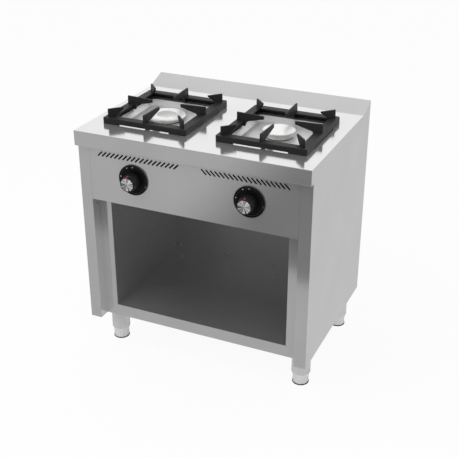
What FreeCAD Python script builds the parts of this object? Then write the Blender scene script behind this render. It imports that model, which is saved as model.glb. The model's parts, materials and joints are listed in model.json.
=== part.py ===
import FreeCAD, Part
import math
import os

import Sketcher

# Two-burner gas range on an open cabinet stand, in millimetres.
# +Z is up, the front faces -Y, and the origin lies on the floor under the middle of the whole
# envelope, from the rear skirt to the end faces of the knobs.

SIZE_MM = {
    # whole range
    "overall_width": 800,
    "body_depth": 592,
    "body_height": 700,
    "leg_height": 132,
    # worktop
    "top_sheet": 1.5,
    "skirt_drop": 50,
    "skirt_hem": 26,
    "flat_depth": 510,
    "upstand_rise": 29,
    "basin_width": 254,
    "basin_depth": 15,
    "basin_wall_run": 17,
    "basin_corner_radius": 26,
    "burner_spacing": 400,
    "burner_setback": 255.5,
    # cabinet sheets
    "sheet": 1.2,
    "panel_gap": 0.4,
    "body_setback": 20.5,
    "post_width": 40,
    "post_return": 41.5,
    "stile_width": 44,
    "sheet_flange": 22,
    "panel_height": 189,
    "rail_height": 42,
    "service_gap": 52,
    "rear_inset": 26,
    "hinge_hole_radius": 3,
    "hinge_hole_drop": 29,
    "hinge_hole_setback": 28.5,
    # vent slots in the control panel
    "slot_count": 19,
    "slot_pitch": 15.1,
    "slot_length": 24.4,
    "slot_width": 5,
    "slot_corner": 1.5,
    "slot_row_offset": 47.5,
    "slot_row_drop": 73.25,
    # base and legs
    "channel_sheet": 2.5,
    "channel_width": 98,
    "leg_inset": 51,
    "front_leg_setback": 130,
    "rear_leg_inset": 63,
    "leg_radius": 32,
    "leg_wall": 1.5,
    "leg_bottom": 43,
    "leg_top_plate": 10,
    "leg_plug_height": 10,
    "leg_bolt_radius": 6,
    "leg_bolt_engagement": 9,
    "leg_bolt_head_radius": 10.4,
    "leg_bolt_head_height": 7.5,
    "foot_radius": 27,
    "foot_shoulder_radius": 31,
    "foot_cup_height": 24,
    "foot_stem_radius": 12,
    "foot_stem_length": 52,
    "foot_pad_seat_radius": 9,
    "foot_pad_seat_depth": 4,
    "pad_radius": 28.5,
    "pad_thickness": 3,
    "part_gap": 0.3,
    "running_clearance": 0.08,
    # pan supports
    "support_width": 298,
    "support_depth": 320,
    "support_bar": 30,
    "support_height": 20,
    "support_skirt": 6,
    "support_flange": 4,
    "support_corner_radius": 6,
    "support_edge": 1.5,
    "foot_gap_height": 5,
    "foot_gap_half": 90,
    "finger_thickness": 9.5,
    "finger_top_thickness": 5,
    "finger_end_inset": 4.5,
    "finger_height": 46,
    "finger_tip_height": 43,
    "finger_tip_radius": 53,
    "finger_tip_bottom": 33,
    "finger_haunch_run": 8,
    "finger_haunch_height": 19,
    "finger_root_run": 2,
    "finger_root_height": 1.5,
    "corner_finger_inset": 13.5,
    "corner_finger_reach": 52,
    "corner_tip_bottom": 41,
    "corner_root_height": 17,
    # burners
    "burner_flange_width": 8,
    "burner_flange_thickness": 2.5,
    "burner_wall": 2.5,
    "burner_cup_depth": 60,
    "burner_hole_gap": 0.5,
    "mixer_drop": 45,
    "mixer_radius": 13,
    "mixer_wall": 2,
    "mixer_length": 130,
    "crown_wall": 5,
    "crown_floor": 2,
    "crown_spigot": 6,
    "crown_spigot_wall": 1.7,
    "port_width": 3,
    "port_depth": 4,
    "left_hole_radius": 46,
    "left_crown_radius": 56,
    "left_crown_height": 9.2,
    "left_crown_bore": 33.3,
    "left_crown_inner_wall": 2.7,
    "left_well_radius": 11,
    "left_well_depth": 5,
    "left_gasway_radius": 2.2,
    "left_gasway_circle": 38.6,
    "left_gasway_count": 8,
    "left_port_count": 30,
    "left_cap_radius": 64,
    "left_cap_bore": 33,
    "left_cap_thickness": 4.5,
    "left_cap_bevel_run": 4,
    "left_cap_bevel_drop": 3,
    "right_hole_radius": 36,
    "right_crown_radius": 44,
    "right_crown_height": 15,
    "right_port_count": 24,
    "right_cap_radius": 52.5,
    "right_cap_thickness": 5,
    "right_cap_bevel": 1.2,
    "cap_rib_depth": 3,
    "cap_rib_wall": 1.9,
    # taps and knobs, measured along their own axis from the panel's face
    "knob_drop": 143.5,
    "bezel_radius": 51.5,
    "bezel_thickness": 5,
    "bezel_rim_width": 7.5,
    "bezel_dish": 2,
    "bezel_bore": 17,
    "knob_front": 44.5,
    "knob_rear_gap": 5.5,
    "knob_skirt_radius": 28.5,
    "knob_skirt_height": 4,
    "knob_nose_radius": 24.5,
    "knob_wall": 2.5,
    "knob_disc_radius": 23,
    "knob_disc_thickness": 2,
    "knob_disc_proud": 0.8,
    "knob_hub_radius": 9,
    "knob_hub_setback": 2,
    "spindle_radius": 4,
    "spindle_seat": 16,
    "spindle_tail": 18,
    "push_travel": 4,
    "panel_hole_radius": 8,
    "rod_radius": 2,
    "rod_seat": 10,
    "rod_length": 32,
    "tap_radius": 14,
    "tap_panel_gap": 3,
    "tap_length": 48,
    "tap_neck_radius": 10,
    "tap_neck_length": 14,
    "saddle_radius": 9,
    # gas pipes
    "manifold_radius": 10.65,
    "manifold_wall": 2.3,
    "manifold_drop": 32,
    "manifold_setback": 32,
    "manifold_left_end": 236,
    "manifold_side_inset": 58,
    "manifold_bend": 40,
    "manifold_rear_end": 38,
    "bracket_sheet": 2,
    "bracket_width": 40,
    "bracket_offset": 110,
    "plug_radius": 13,
    "plug_length": 10,
    "plug_seat": 8,
    "inlet_radius": 10.48,
    "inlet_bore": 7.5,
    "inlet_hex_radius": 15.6,
    "inlet_hex_length": 14,
    "inlet_pin_length": 20,
    "inlet_hole_radius": 17,
    "supply_radius": 5,
    "injector_radius": 9,
    "injector_length": 20,
    "injector_gap": 8,
    "injector_jet_radius": 1,
    # rivets of the cabinet's back wall
    "rivet_count": 4,
    "rivet_end_inset": 22,
    "rivet_rise": 26,
    "rivet_hole_radius": 2.1,
    "rivet_shank_radius": 2,
    "rivet_head_radius": 4,
    "rivet_head_height": 1.2,
    "shelf_upstand": 44,
}

document = FreeCAD.newDocument("gas_range")
sizes = document.addObject("Spreadsheet::Sheet", "Sizes")
for row, name in enumerate(SIZE_MM, start=1):
    sizes.set("A%d" % row, name)
    sizes.set("B%d" % row, str(SIZE_MM[name]))
    sizes.setAlias("B%d" % row, name)
document.recompute()


class Measure:
    """A length that carries both its value and the sheet expression it comes from."""

    def __init__(self, text, value):
        self.text = text
        self.value = value

    def combine(self, other, sign, value):
        return Measure("(%s %s %s)" % (self.text, sign, other.text), value)

    def __add__(self, other):
        other = measure(other)
        return self.combine(other, "+", self.value + other.value)

    def __sub__(self, other):
        other = measure(other)
        return self.combine(other, "-", self.value - other.value)

    def __mul__(self, other):
        other = measure(other)
        return self.combine(other, "*", self.value * other.value)

    def __truediv__(self, other):
        other = measure(other)
        return self.combine(other, "/", self.value / other.value)

    def __neg__(self):
        return Measure("(0 - %s)" % self.text, -self.value)

    __radd__ = __add__

    def __rsub__(self, other):
        return measure(other) - self

    def __rmul__(self, other):
        return measure(other) * self


def measure(number):
    """Wrap a plain number; a Measure passes through."""
    if isinstance(number, Measure):
        return number
    return Measure(repr(number), float(number))


def size(name):
    return Measure("Sizes." + name, float(SIZE_MM[name]))


def bind(thing, prop, length):
    thing.setExpression(prop, measure(length).text)


# ---------------------------------------------------------------- shared building steps


def new_body(label, place=(0, 0, 0), turn=None):
    """One sub-part as a body, with its origin at a place given by sizes."""
    body = document.addObject("PartDesign::Body", label)
    body.Label = label
    if turn is not None:
        body.Placement = FreeCAD.Placement(FreeCAD.Vector(), turn)
    for axis, length in zip("xyz", place):
        bind(body, "Placement.Base." + axis, length)
    return body


def origin_plane(body, role):
    for feature in body.Origin.OriginFeatures:
        if feature.Role == role:
            return feature
    raise ValueError("no origin plane " + role)


def new_sketch(body, name, role, lift=0, turn=None):
    """An empty sketch on one of the body's own planes, lifted along its normal."""
    sketch = body.newObject("Sketcher::SketchObject", body.Name + "_" + name)
    sketch.AttachmentSupport = [(origin_plane(body, role), "")]
    sketch.MapMode = "FlatFace"
    if turn is not None:
        sketch.AttachmentOffset = FreeCAD.Placement(FreeCAD.Vector(), turn)
    if measure(lift).value or isinstance(lift, Measure):
        bind(sketch, "AttachmentOffset.Base.z", lift)
    return sketch


def fix(sketch, kind, geometry, point, length):
    """Tie one coordinate of a point to a size."""
    length = measure(length)
    index = sketch.addConstraint(Sketcher.Constraint(kind, -1, 1, geometry, point, length.value))
    bind(sketch, "Constraints[%d]" % index, length)


def fix_point(sketch, geometry, point, across, up):
    fix(sketch, "DistanceX", geometry, point, across)
    fix(sketch, "DistanceY", geometry, point, up)


def polygon(sketch, corners):
    """Closed straight-sided outline through corners given by sizes."""
    corners = [(measure(across), measure(up)) for across, up in corners]
    points = [FreeCAD.Vector(across.value, up.value, 0) for across, up in corners]
    first = None
    previous = None
    for number, start in enumerate(points):
        end = points[(number + 1) % len(points)]
        line = sketch.addGeometry(Part.LineSegment(start, end), False)
        if previous is None:
            first = line
        else:
            sketch.addConstraint(Sketcher.Constraint("Coincident", previous, 2, line, 1))
        fix_point(sketch, line, 1, *corners[number])
        previous = line
    sketch.addConstraint(Sketcher.Constraint("Coincident", previous, 2, first, 1))


def rectangle(sketch, low_across, low_up, high_across, high_up):
    polygon(sketch, [(low_across, low_up), (high_across, low_up),
                     (high_across, high_up), (low_across, high_up)])


def centred_box(sketch, half_width, half_depth):
    rectangle(sketch, -half_width, -half_depth, half_width, half_depth)


def circle(sketch, radius, across=0, up=0):
    radius = measure(radius)
    centre = FreeCAD.Vector(measure(across).value, measure(up).value, 0)
    ring = sketch.addGeometry(Part.Circle(centre, FreeCAD.Vector(0, 0, 1), radius.value), False)
    index = sketch.addConstraint(Sketcher.Constraint("Radius", ring, radius.value))
    bind(sketch, "Constraints[%d]" % index, radius)
    fix_point(sketch, ring, 3, across, up)


def hexagon(sketch, radius, across=0, up=0):
    corners = []
    for number in range(6):
        turn = math.radians(60 * number)
        corners.append((across + radius * math.cos(turn), up + radius * math.sin(turn)))
    polygon(sketch, corners)


def rounded(sketch, centres, radius):
    """Convex outline of arcs of one radius about centres listed anticlockwise, joined by tangents."""
    radius = measure(radius)
    centres = [(measure(across), measure(up)) for across, up in centres]
    points = [FreeCAD.Vector(across.value, up.value, 0) for across, up in centres]
    count = len(points)
    outward = []
    for number, start in enumerate(points):
        along = points[(number + 1) % count] - start
        outward.append(math.atan2(along.y, along.x) - math.pi / 2)
    arcs = []
    for number, centre in enumerate(points):
        start_angle = outward[number - 1]
        end_angle = outward[number]
        full = Part.Circle(centre, FreeCAD.Vector(0, 0, 1), radius.value)
        arcs.append(sketch.addGeometry(Part.ArcOfCircle(full, start_angle, end_angle), False))
    for number in range(count):
        following = (number + 1) % count
        offset = FreeCAD.Vector(math.cos(outward[number]), math.sin(outward[number]), 0) * radius.value
        line = sketch.addGeometry(
            Part.LineSegment(points[number] + offset, points[following] + offset), False)
        sketch.addConstraint(Sketcher.Constraint("Tangent", arcs[number], 2, line, 1))
        sketch.addConstraint(Sketcher.Constraint("Tangent", line, 2, arcs[following], 1))
    index = sketch.addConstraint(Sketcher.Constraint("Radius", arcs[0], radius.value))
    bind(sketch, "Constraints[%d]" % index, radius)
    for arc in arcs[1:]:
        sketch.addConstraint(Sketcher.Constraint("Equal", arcs[0], arc))
    for arc, (across, up) in zip(arcs, centres):
        fix_point(sketch, arc, 3, across, up)


def rounded_box(sketch, half_width, half_depth, radius):
    across = half_width - radius
    up = half_depth - radius
    rounded(sketch, [(-across, -up), (across, -up), (across, up), (-across, up)], radius)


def pad(sketch, length, symmetric=False, reverse=False):
    body = sketch.getParentGeoFeatureGroup()
    feature = body.newObject("PartDesign::Pad", sketch.Name + "_pad")
    feature.Profile = sketch
    bind(feature, "Length", length)
    if symmetric:
        feature.SideType = "Symmetric"
    feature.Reversed = reverse
    return feature


def pocket(sketch, depth=None, symmetric=False, reverse=False):
    """Cut to a depth, or right through when no depth is given."""
    body = sketch.getParentGeoFeatureGroup()
    feature = body.newObject("PartDesign::Pocket", sketch.Name + "_cut")
    feature.Profile = sketch
    if depth is None:
        feature.Type = "ThroughAll"
    else:
        bind(feature, "Length", depth)
    if symmetric:
        feature.SideType = "Symmetric"
    feature.Reversed = reverse
    return feature


def revolve(sketch):
    body = sketch.getParentGeoFeatureGroup()
    feature = body.newObject("PartDesign::Revolution", sketch.Name + "_turned")
    feature.Profile = sketch
    feature.ReferenceAxis = (sketch, ["V_Axis"])
    return feature


def turned_body(label, profile, place, turn=None):
    """A turned piece: (radius, height) corners spun about the body's own vertical axis."""
    body = new_body(label, place, turn)
    sketch = new_sketch(body, "profile", "XZ_Plane")
    polygon(sketch, profile)
    revolve(sketch)
    return body


def polar_pattern(body, feature, count):
    pattern = body.newObject("PartDesign::PolarPattern", feature.Name + "_ring")
    pattern.Originals = [feature]
    pattern.Axis = (origin_plane(body, "Z_Axis"), [""])
    pattern.Angle = 360
    bind(pattern, "Occurrences", count)
    body.Tip = pattern
    return pattern


def facing_front():
    """Turn a body so that its own +Z points out of the front of the range."""
    return FreeCAD.Rotation(FreeCAD.Vector(1, 0, 0), 90)


# ---------------------------------------------------------------- shared places

half_width = size("overall_width") / 2
knob_overhang = size("knob_front") - size("body_setback")
front_edge = (knob_overhang - size("body_depth")) / 2
rear_edge = front_edge + size("body_depth")
body_bottom = size("leg_height")
top_height = body_bottom + size("body_height")
skirt_bottom = top_height - size("skirt_drop")
body_front = front_edge + size("body_setback")
stile_front = body_front + size("post_return")
post_inner = half_width - size("post_width")
opening_half = post_inner - size("stile_width")
panel_bottom = skirt_bottom - size("panel_height")
shelf_top = body_bottom + size("rail_height")
rear_skin_front = rear_edge - size("rear_inset")
cabinet_back = rear_skin_front - size("service_gap")
knob_height = top_height - size("knob_drop")
knob_offset = size("burner_spacing") / 2
basin_floor = top_height - size("basin_depth")
burner_depth = front_edge + size("burner_setback")
burner_flange_top = basin_floor + size("burner_flange_thickness")
sheet = size("sheet")
gap = size("panel_gap")
part_gap = size("part_gap")
clearance = size("running_clearance")
inside_skin = half_width - sheet - gap
manifold_height = knob_height - size("manifold_drop")
manifold_front = body_front + size("manifold_setback")
tap_front = sheet + size("tap_panel_gap")
tap_rear = tap_front + size("tap_length")
mixer_height = basin_floor - size("mixer_drop")
injector_rear = burner_depth - size("mixer_length") - size("injector_gap")
injector_front = injector_rear - size("injector_length")

SIDES = (("left", -1), ("right", 1))


def mirrored(sign, corners):
    """Corners for the right side, flipped across the middle plane for the left."""
    return [(across * sign, up) for across, up in corners]


# ---------------------------------------------------------------- worktop


def build_worktop():
    """Pressed top: block of the outer form with two sunk basins, shelled from below, then hemmed."""
    body = new_body("worktop")
    side = new_sketch(body, "side", "YZ_Plane")
    polygon(side, [
        (front_edge, skirt_bottom),
        (rear_edge, skirt_bottom),
        (rear_edge, top_height + size("upstand_rise")),
        (front_edge + size("flat_depth"), top_height),
        (front_edge, top_height),
    ])
    pad(side, size("overall_width"), symmetric=True)
    half_basin = size("basin_width") / 2
    half_floor = half_basin - size("basin_wall_run")
    floor_corner = size("basin_corner_radius") - size("basin_wall_run") / 2
    for side_name, sign in SIDES:
        centre = (size("burner_spacing") / 2 * sign, burner_depth)
        rim = new_sketch(body, side_name + "_basin_rim", "XY_Plane", top_height)
        basin_outline(rim, centre, half_basin, size("basin_corner_radius"))
        floor = new_sketch(body, side_name + "_basin_floor", "XY_Plane", basin_floor)
        basin_outline(floor, centre, half_floor, floor_corner)
        basin = body.newObject("PartDesign::SubtractiveLoft", side_name + "_basin")
        basin.Profile = rim
        basin.Sections = [floor]
        basin.Ruled = True
    document.recompute()
    solid_top = body.Tip
    shell = body.newObject("PartDesign::Thickness", "worktop_shell")
    shell.Base = (solid_top, [lowest_face(solid_top.Shape)])
    bind(shell, "Value", size("top_sheet"))
    shell.Mode = "Skin"
    shell.Join = "Arc"
    shell.Reversed = True
    body.Tip = shell
    document.recompute()
    for side_name, sign in SIDES:
        hole = new_sketch(body, side_name + "_burner_hole", "XY_Plane", top_height)
        circle(hole, size(side_name + "_hole_radius"), size("burner_spacing") / 2 * sign, burner_depth)
        pocket(hole, size("basin_depth") + size("top_sheet") * 2)
    hem = new_sketch(body, "hem", "XY_Plane", skirt_bottom)
    inner = half_width - size("top_sheet")
    rectangle(hem, -inner, front_edge + size("top_sheet"), inner, rear_edge - size("top_sheet"))
    rectangle(hem, -half_width + size("skirt_hem"), front_edge + size("skirt_hem"),
              half_width - size("skirt_hem"), rear_edge - size("skirt_hem"))
    pad(hem, size("top_sheet"))
    return body


def basin_outline(sketch, centre, half, radius):
    reach = half - radius
    across, up = centre
    rounded(sketch, [(across - reach, up - reach), (across + reach, up - reach),
                     (across + reach, up + reach), (across - reach, up + reach)], radius)


def lowest_face(shape):
    """Name of the flat face that looks down."""
    best = min(range(len(shape.Faces)), key=lambda number: shape.Faces[number].CenterOfMass.z)
    return "Face%d" % (best + 1)



def fold(label, outline, role, low, high):
    """A folded sheet whose section is drawn once and pushed from one end to the other."""
    body = new_body(label)
    section = new_sketch(body, "section", role, low)
    polygon(section, outline)
    pad(section, high - low)
    return body


def build_side_panel(side_name, sign):
    """Outer skin, front post and its return, rear flange, and a top flange under the worktop's hem."""
    flange = half_width - size("sheet_flange")
    body = fold(side_name + "_side_panel", mirrored(sign, [
        (half_width, body_front),
        (half_width, rear_edge),
        (flange, rear_edge),
        (flange, rear_edge - sheet),
        (half_width - sheet, rear_edge - sheet),
        (half_width - sheet, body_front + sheet),
        (post_inner + sheet, body_front + sheet),
        (post_inner + sheet, stile_front),
        (post_inner, stile_front),
        (post_inner, body_front),
    ]), "XY_Plane", body_bottom, skirt_bottom)
    top = new_sketch(body, "top_flange", "XY_Plane", skirt_bottom - sheet)
    rectangle(top, flange * sign, body_front + sheet, (half_width - sheet) * sign, rear_edge - sheet)
    pad(top, sheet)
    hole = new_sketch(body, "hinge_hole", "YZ_Plane", post_inner * sign)
    circle(hole, size("hinge_hole_radius"), body_front + size("hinge_hole_setback"),
           panel_bottom - size("hinge_hole_drop"))
    pocket(hole, sheet * 4, symmetric=True)
    return body


def build_control_panel():
    """Front panel between the posts, flanged on all four sides, with vent slots and tap holes."""
    edge = post_inner - gap
    body = fold("control_panel", [
        (-edge, body_front),
        (edge, body_front),
        (edge, stile_front),
        (edge - sheet, stile_front),
        (edge - sheet, body_front + sheet),
        (-edge + sheet, body_front + sheet),
        (-edge + sheet, stile_front),
        (-edge, stile_front),
    ], "XY_Plane", panel_bottom, skirt_bottom)
    lower = new_sketch(body, "bottom_flange", "XY_Plane", panel_bottom)
    rectangle(lower, -edge + sheet, body_front + sheet, edge - sheet, stile_front)
    pad(lower, sheet)
    upper = new_sketch(body, "top_flange", "XY_Plane", skirt_bottom - sheet)
    rectangle(upper, -edge + sheet, body_front + sheet, edge - sheet, body_front + size("sheet_flange"))
    pad(upper, sheet)
    holes = new_sketch(body, "tap_holes", "XZ_Plane", -body_front)
    for _, sign in SIDES:
        circle(holes, size("panel_hole_radius"), knob_offset * sign, knob_height)
    pocket(holes, sheet * 4, symmetric=True)
    slot_middle = top_height - size("slot_row_drop")
    for side_name, sign in SIDES:
        lean = FreeCAD.Rotation(FreeCAD.Vector(0, 0, 1), -44 * sign)
        slot = new_sketch(body, side_name + "_vent_slot", "XZ_Plane", -body_front, lean)
        bind(slot, "AttachmentOffset.Base.x", size("slot_row_offset") * sign)
        bind(slot, "AttachmentOffset.Base.y", slot_middle)
        end = size("slot_length") / 2
        edge = size("slot_width") / 2
        corner = size("slot_corner")
        polygon(slot, [
            (-end, corner - edge), (corner - end, -edge), (end - corner, -edge), (end, corner - edge),
            (end, edge - corner), (end - corner, edge), (corner - end, edge), (-end, edge - corner),
        ])
        cut = pocket(slot, sheet * 4, symmetric=True)
        row = body.newObject("PartDesign::LinearPattern", side_name + "_vent_row")
        row.Originals = [cut]
        row.Direction = (origin_plane(body, "X_Axis"), [""])
        row.Reversed = sign < 0
        bind(row, "Length", size("slot_pitch") * (size("slot_count") - 1))
        bind(row, "Occurrences", size("slot_count"))
        body.Tip = row
    return body


def build_inner_wall(side_name, sign):
    """Door-frame stile and cabinet wall folded from one sheet, with a flange for the back wall."""
    return fold(side_name + "_inner_wall", mirrored(sign, [
        (inside_skin, stile_front),
        (opening_half, stile_front),
        (opening_half, cabinet_back),
        (opening_half + size("sheet_flange"), cabinet_back),
        (opening_half + size("sheet_flange"), cabinet_back - sheet),
        (opening_half + sheet, cabinet_back - sheet),
        (opening_half + sheet, stile_front + sheet),
        (inside_skin, stile_front + sheet),
    ]), "XY_Plane", shelf_top, panel_bottom)


def rivet_holes(sketch):
    """A level row of circles on either side of the middle."""
    count = SIZE_MM["rivet_count"]
    height = shelf_top + size("rivet_rise")
    pitch = (opening_half - size("rivet_end_inset")) * 2 / (size("rivet_count") - 1)
    for number in range(count):
        yield pitch * (number - (count - 1) / 2), height


def build_inner_back_wall():
    edge = opening_half + size("sheet_flange")
    body = new_body("inner_back_wall")
    outline = new_sketch(body, "outline", "XZ_Plane", -cabinet_back)
    rectangle(outline, -edge, shelf_top, edge, panel_bottom)
    for across, height in rivet_holes(outline):
        circle(outline, size("rivet_hole_radius"), across, height)
    pad(outline, sheet, reverse=True)
    return body


def build_bottom_shelf():
    """Cabinet floor folded down in front into the bottom rail and up behind the back wall."""
    back = cabinet_back + sheet
    low = shelf_top - sheet
    body = new_body("bottom_shelf")
    section = new_sketch(body, "section", "YZ_Plane")
    polygon(section, [
        (stile_front, body_bottom),
        (stile_front, shelf_top),
        (back, shelf_top),
        (back, shelf_top + size("shelf_upstand")),
        (back + sheet, shelf_top + size("shelf_upstand")),
        (back + sheet, low),
        (stile_front + sheet, low),
        (stile_front + sheet, body_bottom),
    ])
    pad(section, inside_skin * 2, symmetric=True)
    holes = new_sketch(body, "rivet_holes", "XZ_Plane", -back)
    for across, height in rivet_holes(holes):
        circle(holes, size("rivet_hole_radius"), across, height)
    pocket(holes, sheet * 4, symmetric=True)
    return body


def build_back_wall_rivets():
    body = new_body("back_wall_rivets")
    head = new_sketch(body, "heads", "XZ_Plane", -cabinet_back)
    for across, height in rivet_holes(head):
        circle(head, size("rivet_head_radius"), across, height)
    pad(head, size("rivet_head_height"))
    shank = new_sketch(body, "shanks", "XZ_Plane", -cabinet_back)
    for across, height in rivet_holes(shank):
        circle(shank, size("rivet_shank_radius"), across, height)
    pad(shank, sheet * 2 + size("rivet_head_height"), reverse=True)
    return body


def build_compartment_floor():
    """Sheet between the cabinet and the burners, turned up at the back."""
    back = rear_skin_front - gap
    body = new_body("compartment_floor")
    section = new_sketch(body, "section", "YZ_Plane")
    polygon(section, [
        (stile_front, panel_bottom),
        (back, panel_bottom),
        (back, panel_bottom + size("sheet_flange")),
        (back - sheet, panel_bottom + size("sheet_flange")),
        (back - sheet, panel_bottom + sheet),
        (stile_front, panel_bottom + sheet),
    ])
    pad(section, inside_skin * 2, symmetric=True)
    return body


def build_back_panel():
    """Rear skin set in between the side panels, with side flanges and the gas pipe's way out."""
    body = fold("back_panel", [
        (-inside_skin, rear_skin_front),
        (inside_skin, rear_skin_front),
        (inside_skin, rear_edge - sheet - gap),
        (inside_skin - sheet, rear_edge - sheet - gap),
        (inside_skin - sheet, rear_skin_front + sheet),
        (-inside_skin + sheet, rear_skin_front + sheet),
        (-inside_skin + sheet, rear_edge - sheet - gap),
        (-inside_skin, rear_edge - sheet - gap),
    ], "XY_Plane", body_bottom, skirt_bottom - sheet - gap)
    hole = new_sketch(body, "gas_hole", "XZ_Plane", -rear_skin_front)
    circle(hole, size("inlet_hole_radius"), half_width - size("manifold_side_inset"), manifold_height)
    pocket(hole, sheet * 4, symmetric=True)
    return body


# ---------------------------------------------------------------- base, legs and feet

LEG_ROWS = (
    ("front", size("front_leg_setback")),
    ("rear", size("body_depth") - size("rear_leg_inset")),
)


def leg_place(sign, setback):
    return (half_width - size("leg_inset")) * sign, front_edge + setback


def build_base_channel(side_name, sign):
    """Open channel under the cabinet floor that the legs are bolted to."""
    thick = size("channel_sheet")
    inner = inside_skin - size("channel_width")
    low = stile_front + sheet + gap
    high = rear_skin_front - gap
    body = new_body(side_name + "_base_channel")
    section = new_sketch(body, "section", "XZ_Plane", -high)
    polygon(section, mirrored(sign, [
        (inner, body_bottom),
        (inside_skin, body_bottom),
        (inside_skin, shelf_top - sheet),
        (inside_skin - thick, shelf_top - sheet),
        (inside_skin - thick, body_bottom + thick),
        (inner + thick, body_bottom + thick),
        (inner + thick, shelf_top - sheet),
        (inner, shelf_top - sheet),
    ]))
    pad(section, high - low)
    holes = new_sketch(body, "bolt_holes", "XY_Plane", body_bottom)
    for _, setback in LEG_ROWS:
        circle(holes, size("leg_bolt_radius") + part_gap, *leg_place(sign, setback))
    pocket(holes, thick * 4, symmetric=True)
    return body


def build_leg(label, sign, setback):
    """Round tube with a tapped top plate for its bolt and a bottom plug for the foot's stem."""
    across, along = leg_place(sign, setback)
    inner = size("leg_radius") - size("leg_wall")
    plug_bore = size("foot_stem_radius") + clearance
    return turned_body(label, [
        (size("leg_bolt_radius"), body_bottom),
        (size("leg_radius"), body_bottom),
        (size("leg_radius"), size("leg_bottom")),
        (plug_bore, size("leg_bottom")),
        (plug_bore, size("leg_bottom") + size("leg_plug_height")),
        (inner, size("leg_bottom") + size("leg_plug_height")),
        (inner, body_bottom - size("leg_top_plate")),
        (size("leg_bolt_radius"), body_bottom - size("leg_top_plate")),
    ], (across, along, 0))


def build_foot(label, sign, setback):
    """Screw-in foot: cup, cone up to the tube, and the stem that slides in the leg's plug."""
    across, along = leg_place(sign, setback)
    top = size("leg_bottom") - part_gap
    low = size("pad_thickness")
    seat = low + size("foot_pad_seat_depth")
    return turned_body(label, [
        (0, seat),
        (size("foot_pad_seat_radius"), seat),
        (size("foot_pad_seat_radius"), low),
        (size("foot_radius"), low),
        (size("foot_radius"), low + size("foot_cup_height")),
        (size("foot_shoulder_radius"), top),
        (size("foot_stem_radius"), top),
        (size("foot_stem_radius"), top + size("foot_stem_length")),
        (0, top + size("foot_stem_length")),
    ], (across, along, 0))


def build_foot_pad(label, sign, setback):
    """Dark pad under the foot, with a plug that holds it in the foot's recess."""
    across, along = leg_place(sign, setback)
    low = size("pad_thickness")
    return turned_body(label, [
        (0, 0),
        (size("pad_radius"), 0),
        (size("pad_radius"), low),
        (size("foot_pad_seat_radius"), low),
        (size("foot_pad_seat_radius"), low + size("foot_pad_seat_depth")),
        (0, low + size("foot_pad_seat_depth")),
    ], (across, along, 0))


def build_leg_bolts():
    """The bolts of the four legs: heads inside the channels, shanks down into the top plates."""
    body = new_body("leg_bolts")
    seat = body_bottom + size("channel_sheet")
    head = new_sketch(body, "heads", "XY_Plane", seat)
    shank = new_sketch(body, "shanks", "XY_Plane", seat)
    for _, sign in SIDES:
        for _, setback in LEG_ROWS:
            across, along = leg_place(sign, setback)
            hexagon(head, size("leg_bolt_head_radius"), across, along)
            circle(shank, size("leg_bolt_radius"), across, along)
    pad(head, size("leg_bolt_head_height"))
    pad(shank, size("channel_sheet") + size("leg_bolt_engagement"), reverse=True)
    return body


# ---------------------------------------------------------------- pan supports


def build_pan_support(side_name, sign):
    """Cast frame of angle section on four corner feet, with four long and four corner fingers."""
    body = new_body(side_name + "_pan_support",
                    (size("burner_spacing") / 2 * sign, burner_depth, top_height + part_gap))
    half_x = size("support_width") / 2
    half_y = size("support_depth") / 2
    corner = size("support_corner_radius")
    frame = new_sketch(body, "frame", "XY_Plane")
    rounded_box(frame, half_x, half_y, corner)
    centred_box(frame, half_x - size("support_bar"), half_y - size("support_bar"))
    pad(frame, size("support_height"))
    document.recompute()
    soften(body, "frame_edge", size("support_edge"), size("support_height").value)
    hollow = new_sketch(body, "hollow", "XY_Plane")
    centred_box(hollow, half_x - size("support_skirt"), half_y - size("support_skirt"))
    pocket(hollow, size("support_height") - size("support_flange"), reverse=True)
    for role in ("XZ_Plane", "YZ_Plane"):
        under = new_sketch(body, "gap_" + role[:2], role)
        centred_box(under, size("foot_gap_half"), size("foot_gap_height"))
        pocket(under, size("support_depth") * 2, symmetric=True)
    end_bottom = size("support_height") / 2
    for angle, half in ((0, half_x), (90, half_y), (180, half_x), (270, half_y)):
        end = half - size("finger_end_inset")
        inner = half - size("support_bar")
        finger(body, angle, [
            (end, end_bottom, size("finger_height")),
            (inner - size("finger_root_run"), size("finger_root_height"), size("finger_height") - 1),
            (inner - size("finger_haunch_run"), size("finger_haunch_height"), size("finger_height") - 1),
            (size("finger_tip_radius"), size("finger_tip_bottom"), size("finger_tip_height")),
        ])
    corner_x = (half_x - size("corner_finger_inset")).value
    corner_y = (half_y - size("corner_finger_inset")).value
    lean = math.degrees(math.atan2(corner_y, corner_x))
    end = measure(math.hypot(corner_x, corner_y))
    inner = end - (size("support_bar") - size("corner_finger_inset")) * math.sqrt(2)
    for angle in (lean, 180 - lean, 180 + lean, 360 - lean):
        finger(body, angle, [
            (end, end_bottom, size("finger_height")),
            (inner, size("corner_root_height"), size("finger_height")),
            (end - size("corner_finger_reach"), size("corner_tip_bottom"), size("finger_height")),
        ])
    return body


def finger(body, angle, stations):
    """Upright rib pointing at the burner, lofted through (radius, bottom, top) and thinner at its top."""
    turn = FreeCAD.Rotation(FreeCAD.Vector(0, 1, 0), angle)
    outward = (math.cos(math.radians(angle)), math.sin(math.radians(angle)))
    sections = []
    for number, (radius, bottom, top) in enumerate(stations):
        section = new_sketch(body, "finger_%03d_%d" % (round(angle), number), "YZ_Plane", radius * outward[0], turn)
        bind(section, "AttachmentOffset.Base.x", radius * outward[1])
        low = finger_half(bottom)
        high = finger_half(top)
        polygon(section, [(-low, bottom), (low, bottom), (high, top), (-high, top)])
        sections.append(section)
    loft = body.newObject("PartDesign::AdditiveLoft", body.Name + "_finger_%03d" % round(angle))
    loft.Profile = sections[0]
    loft.Sections = sections[1:]
    loft.Ruled = True


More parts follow.
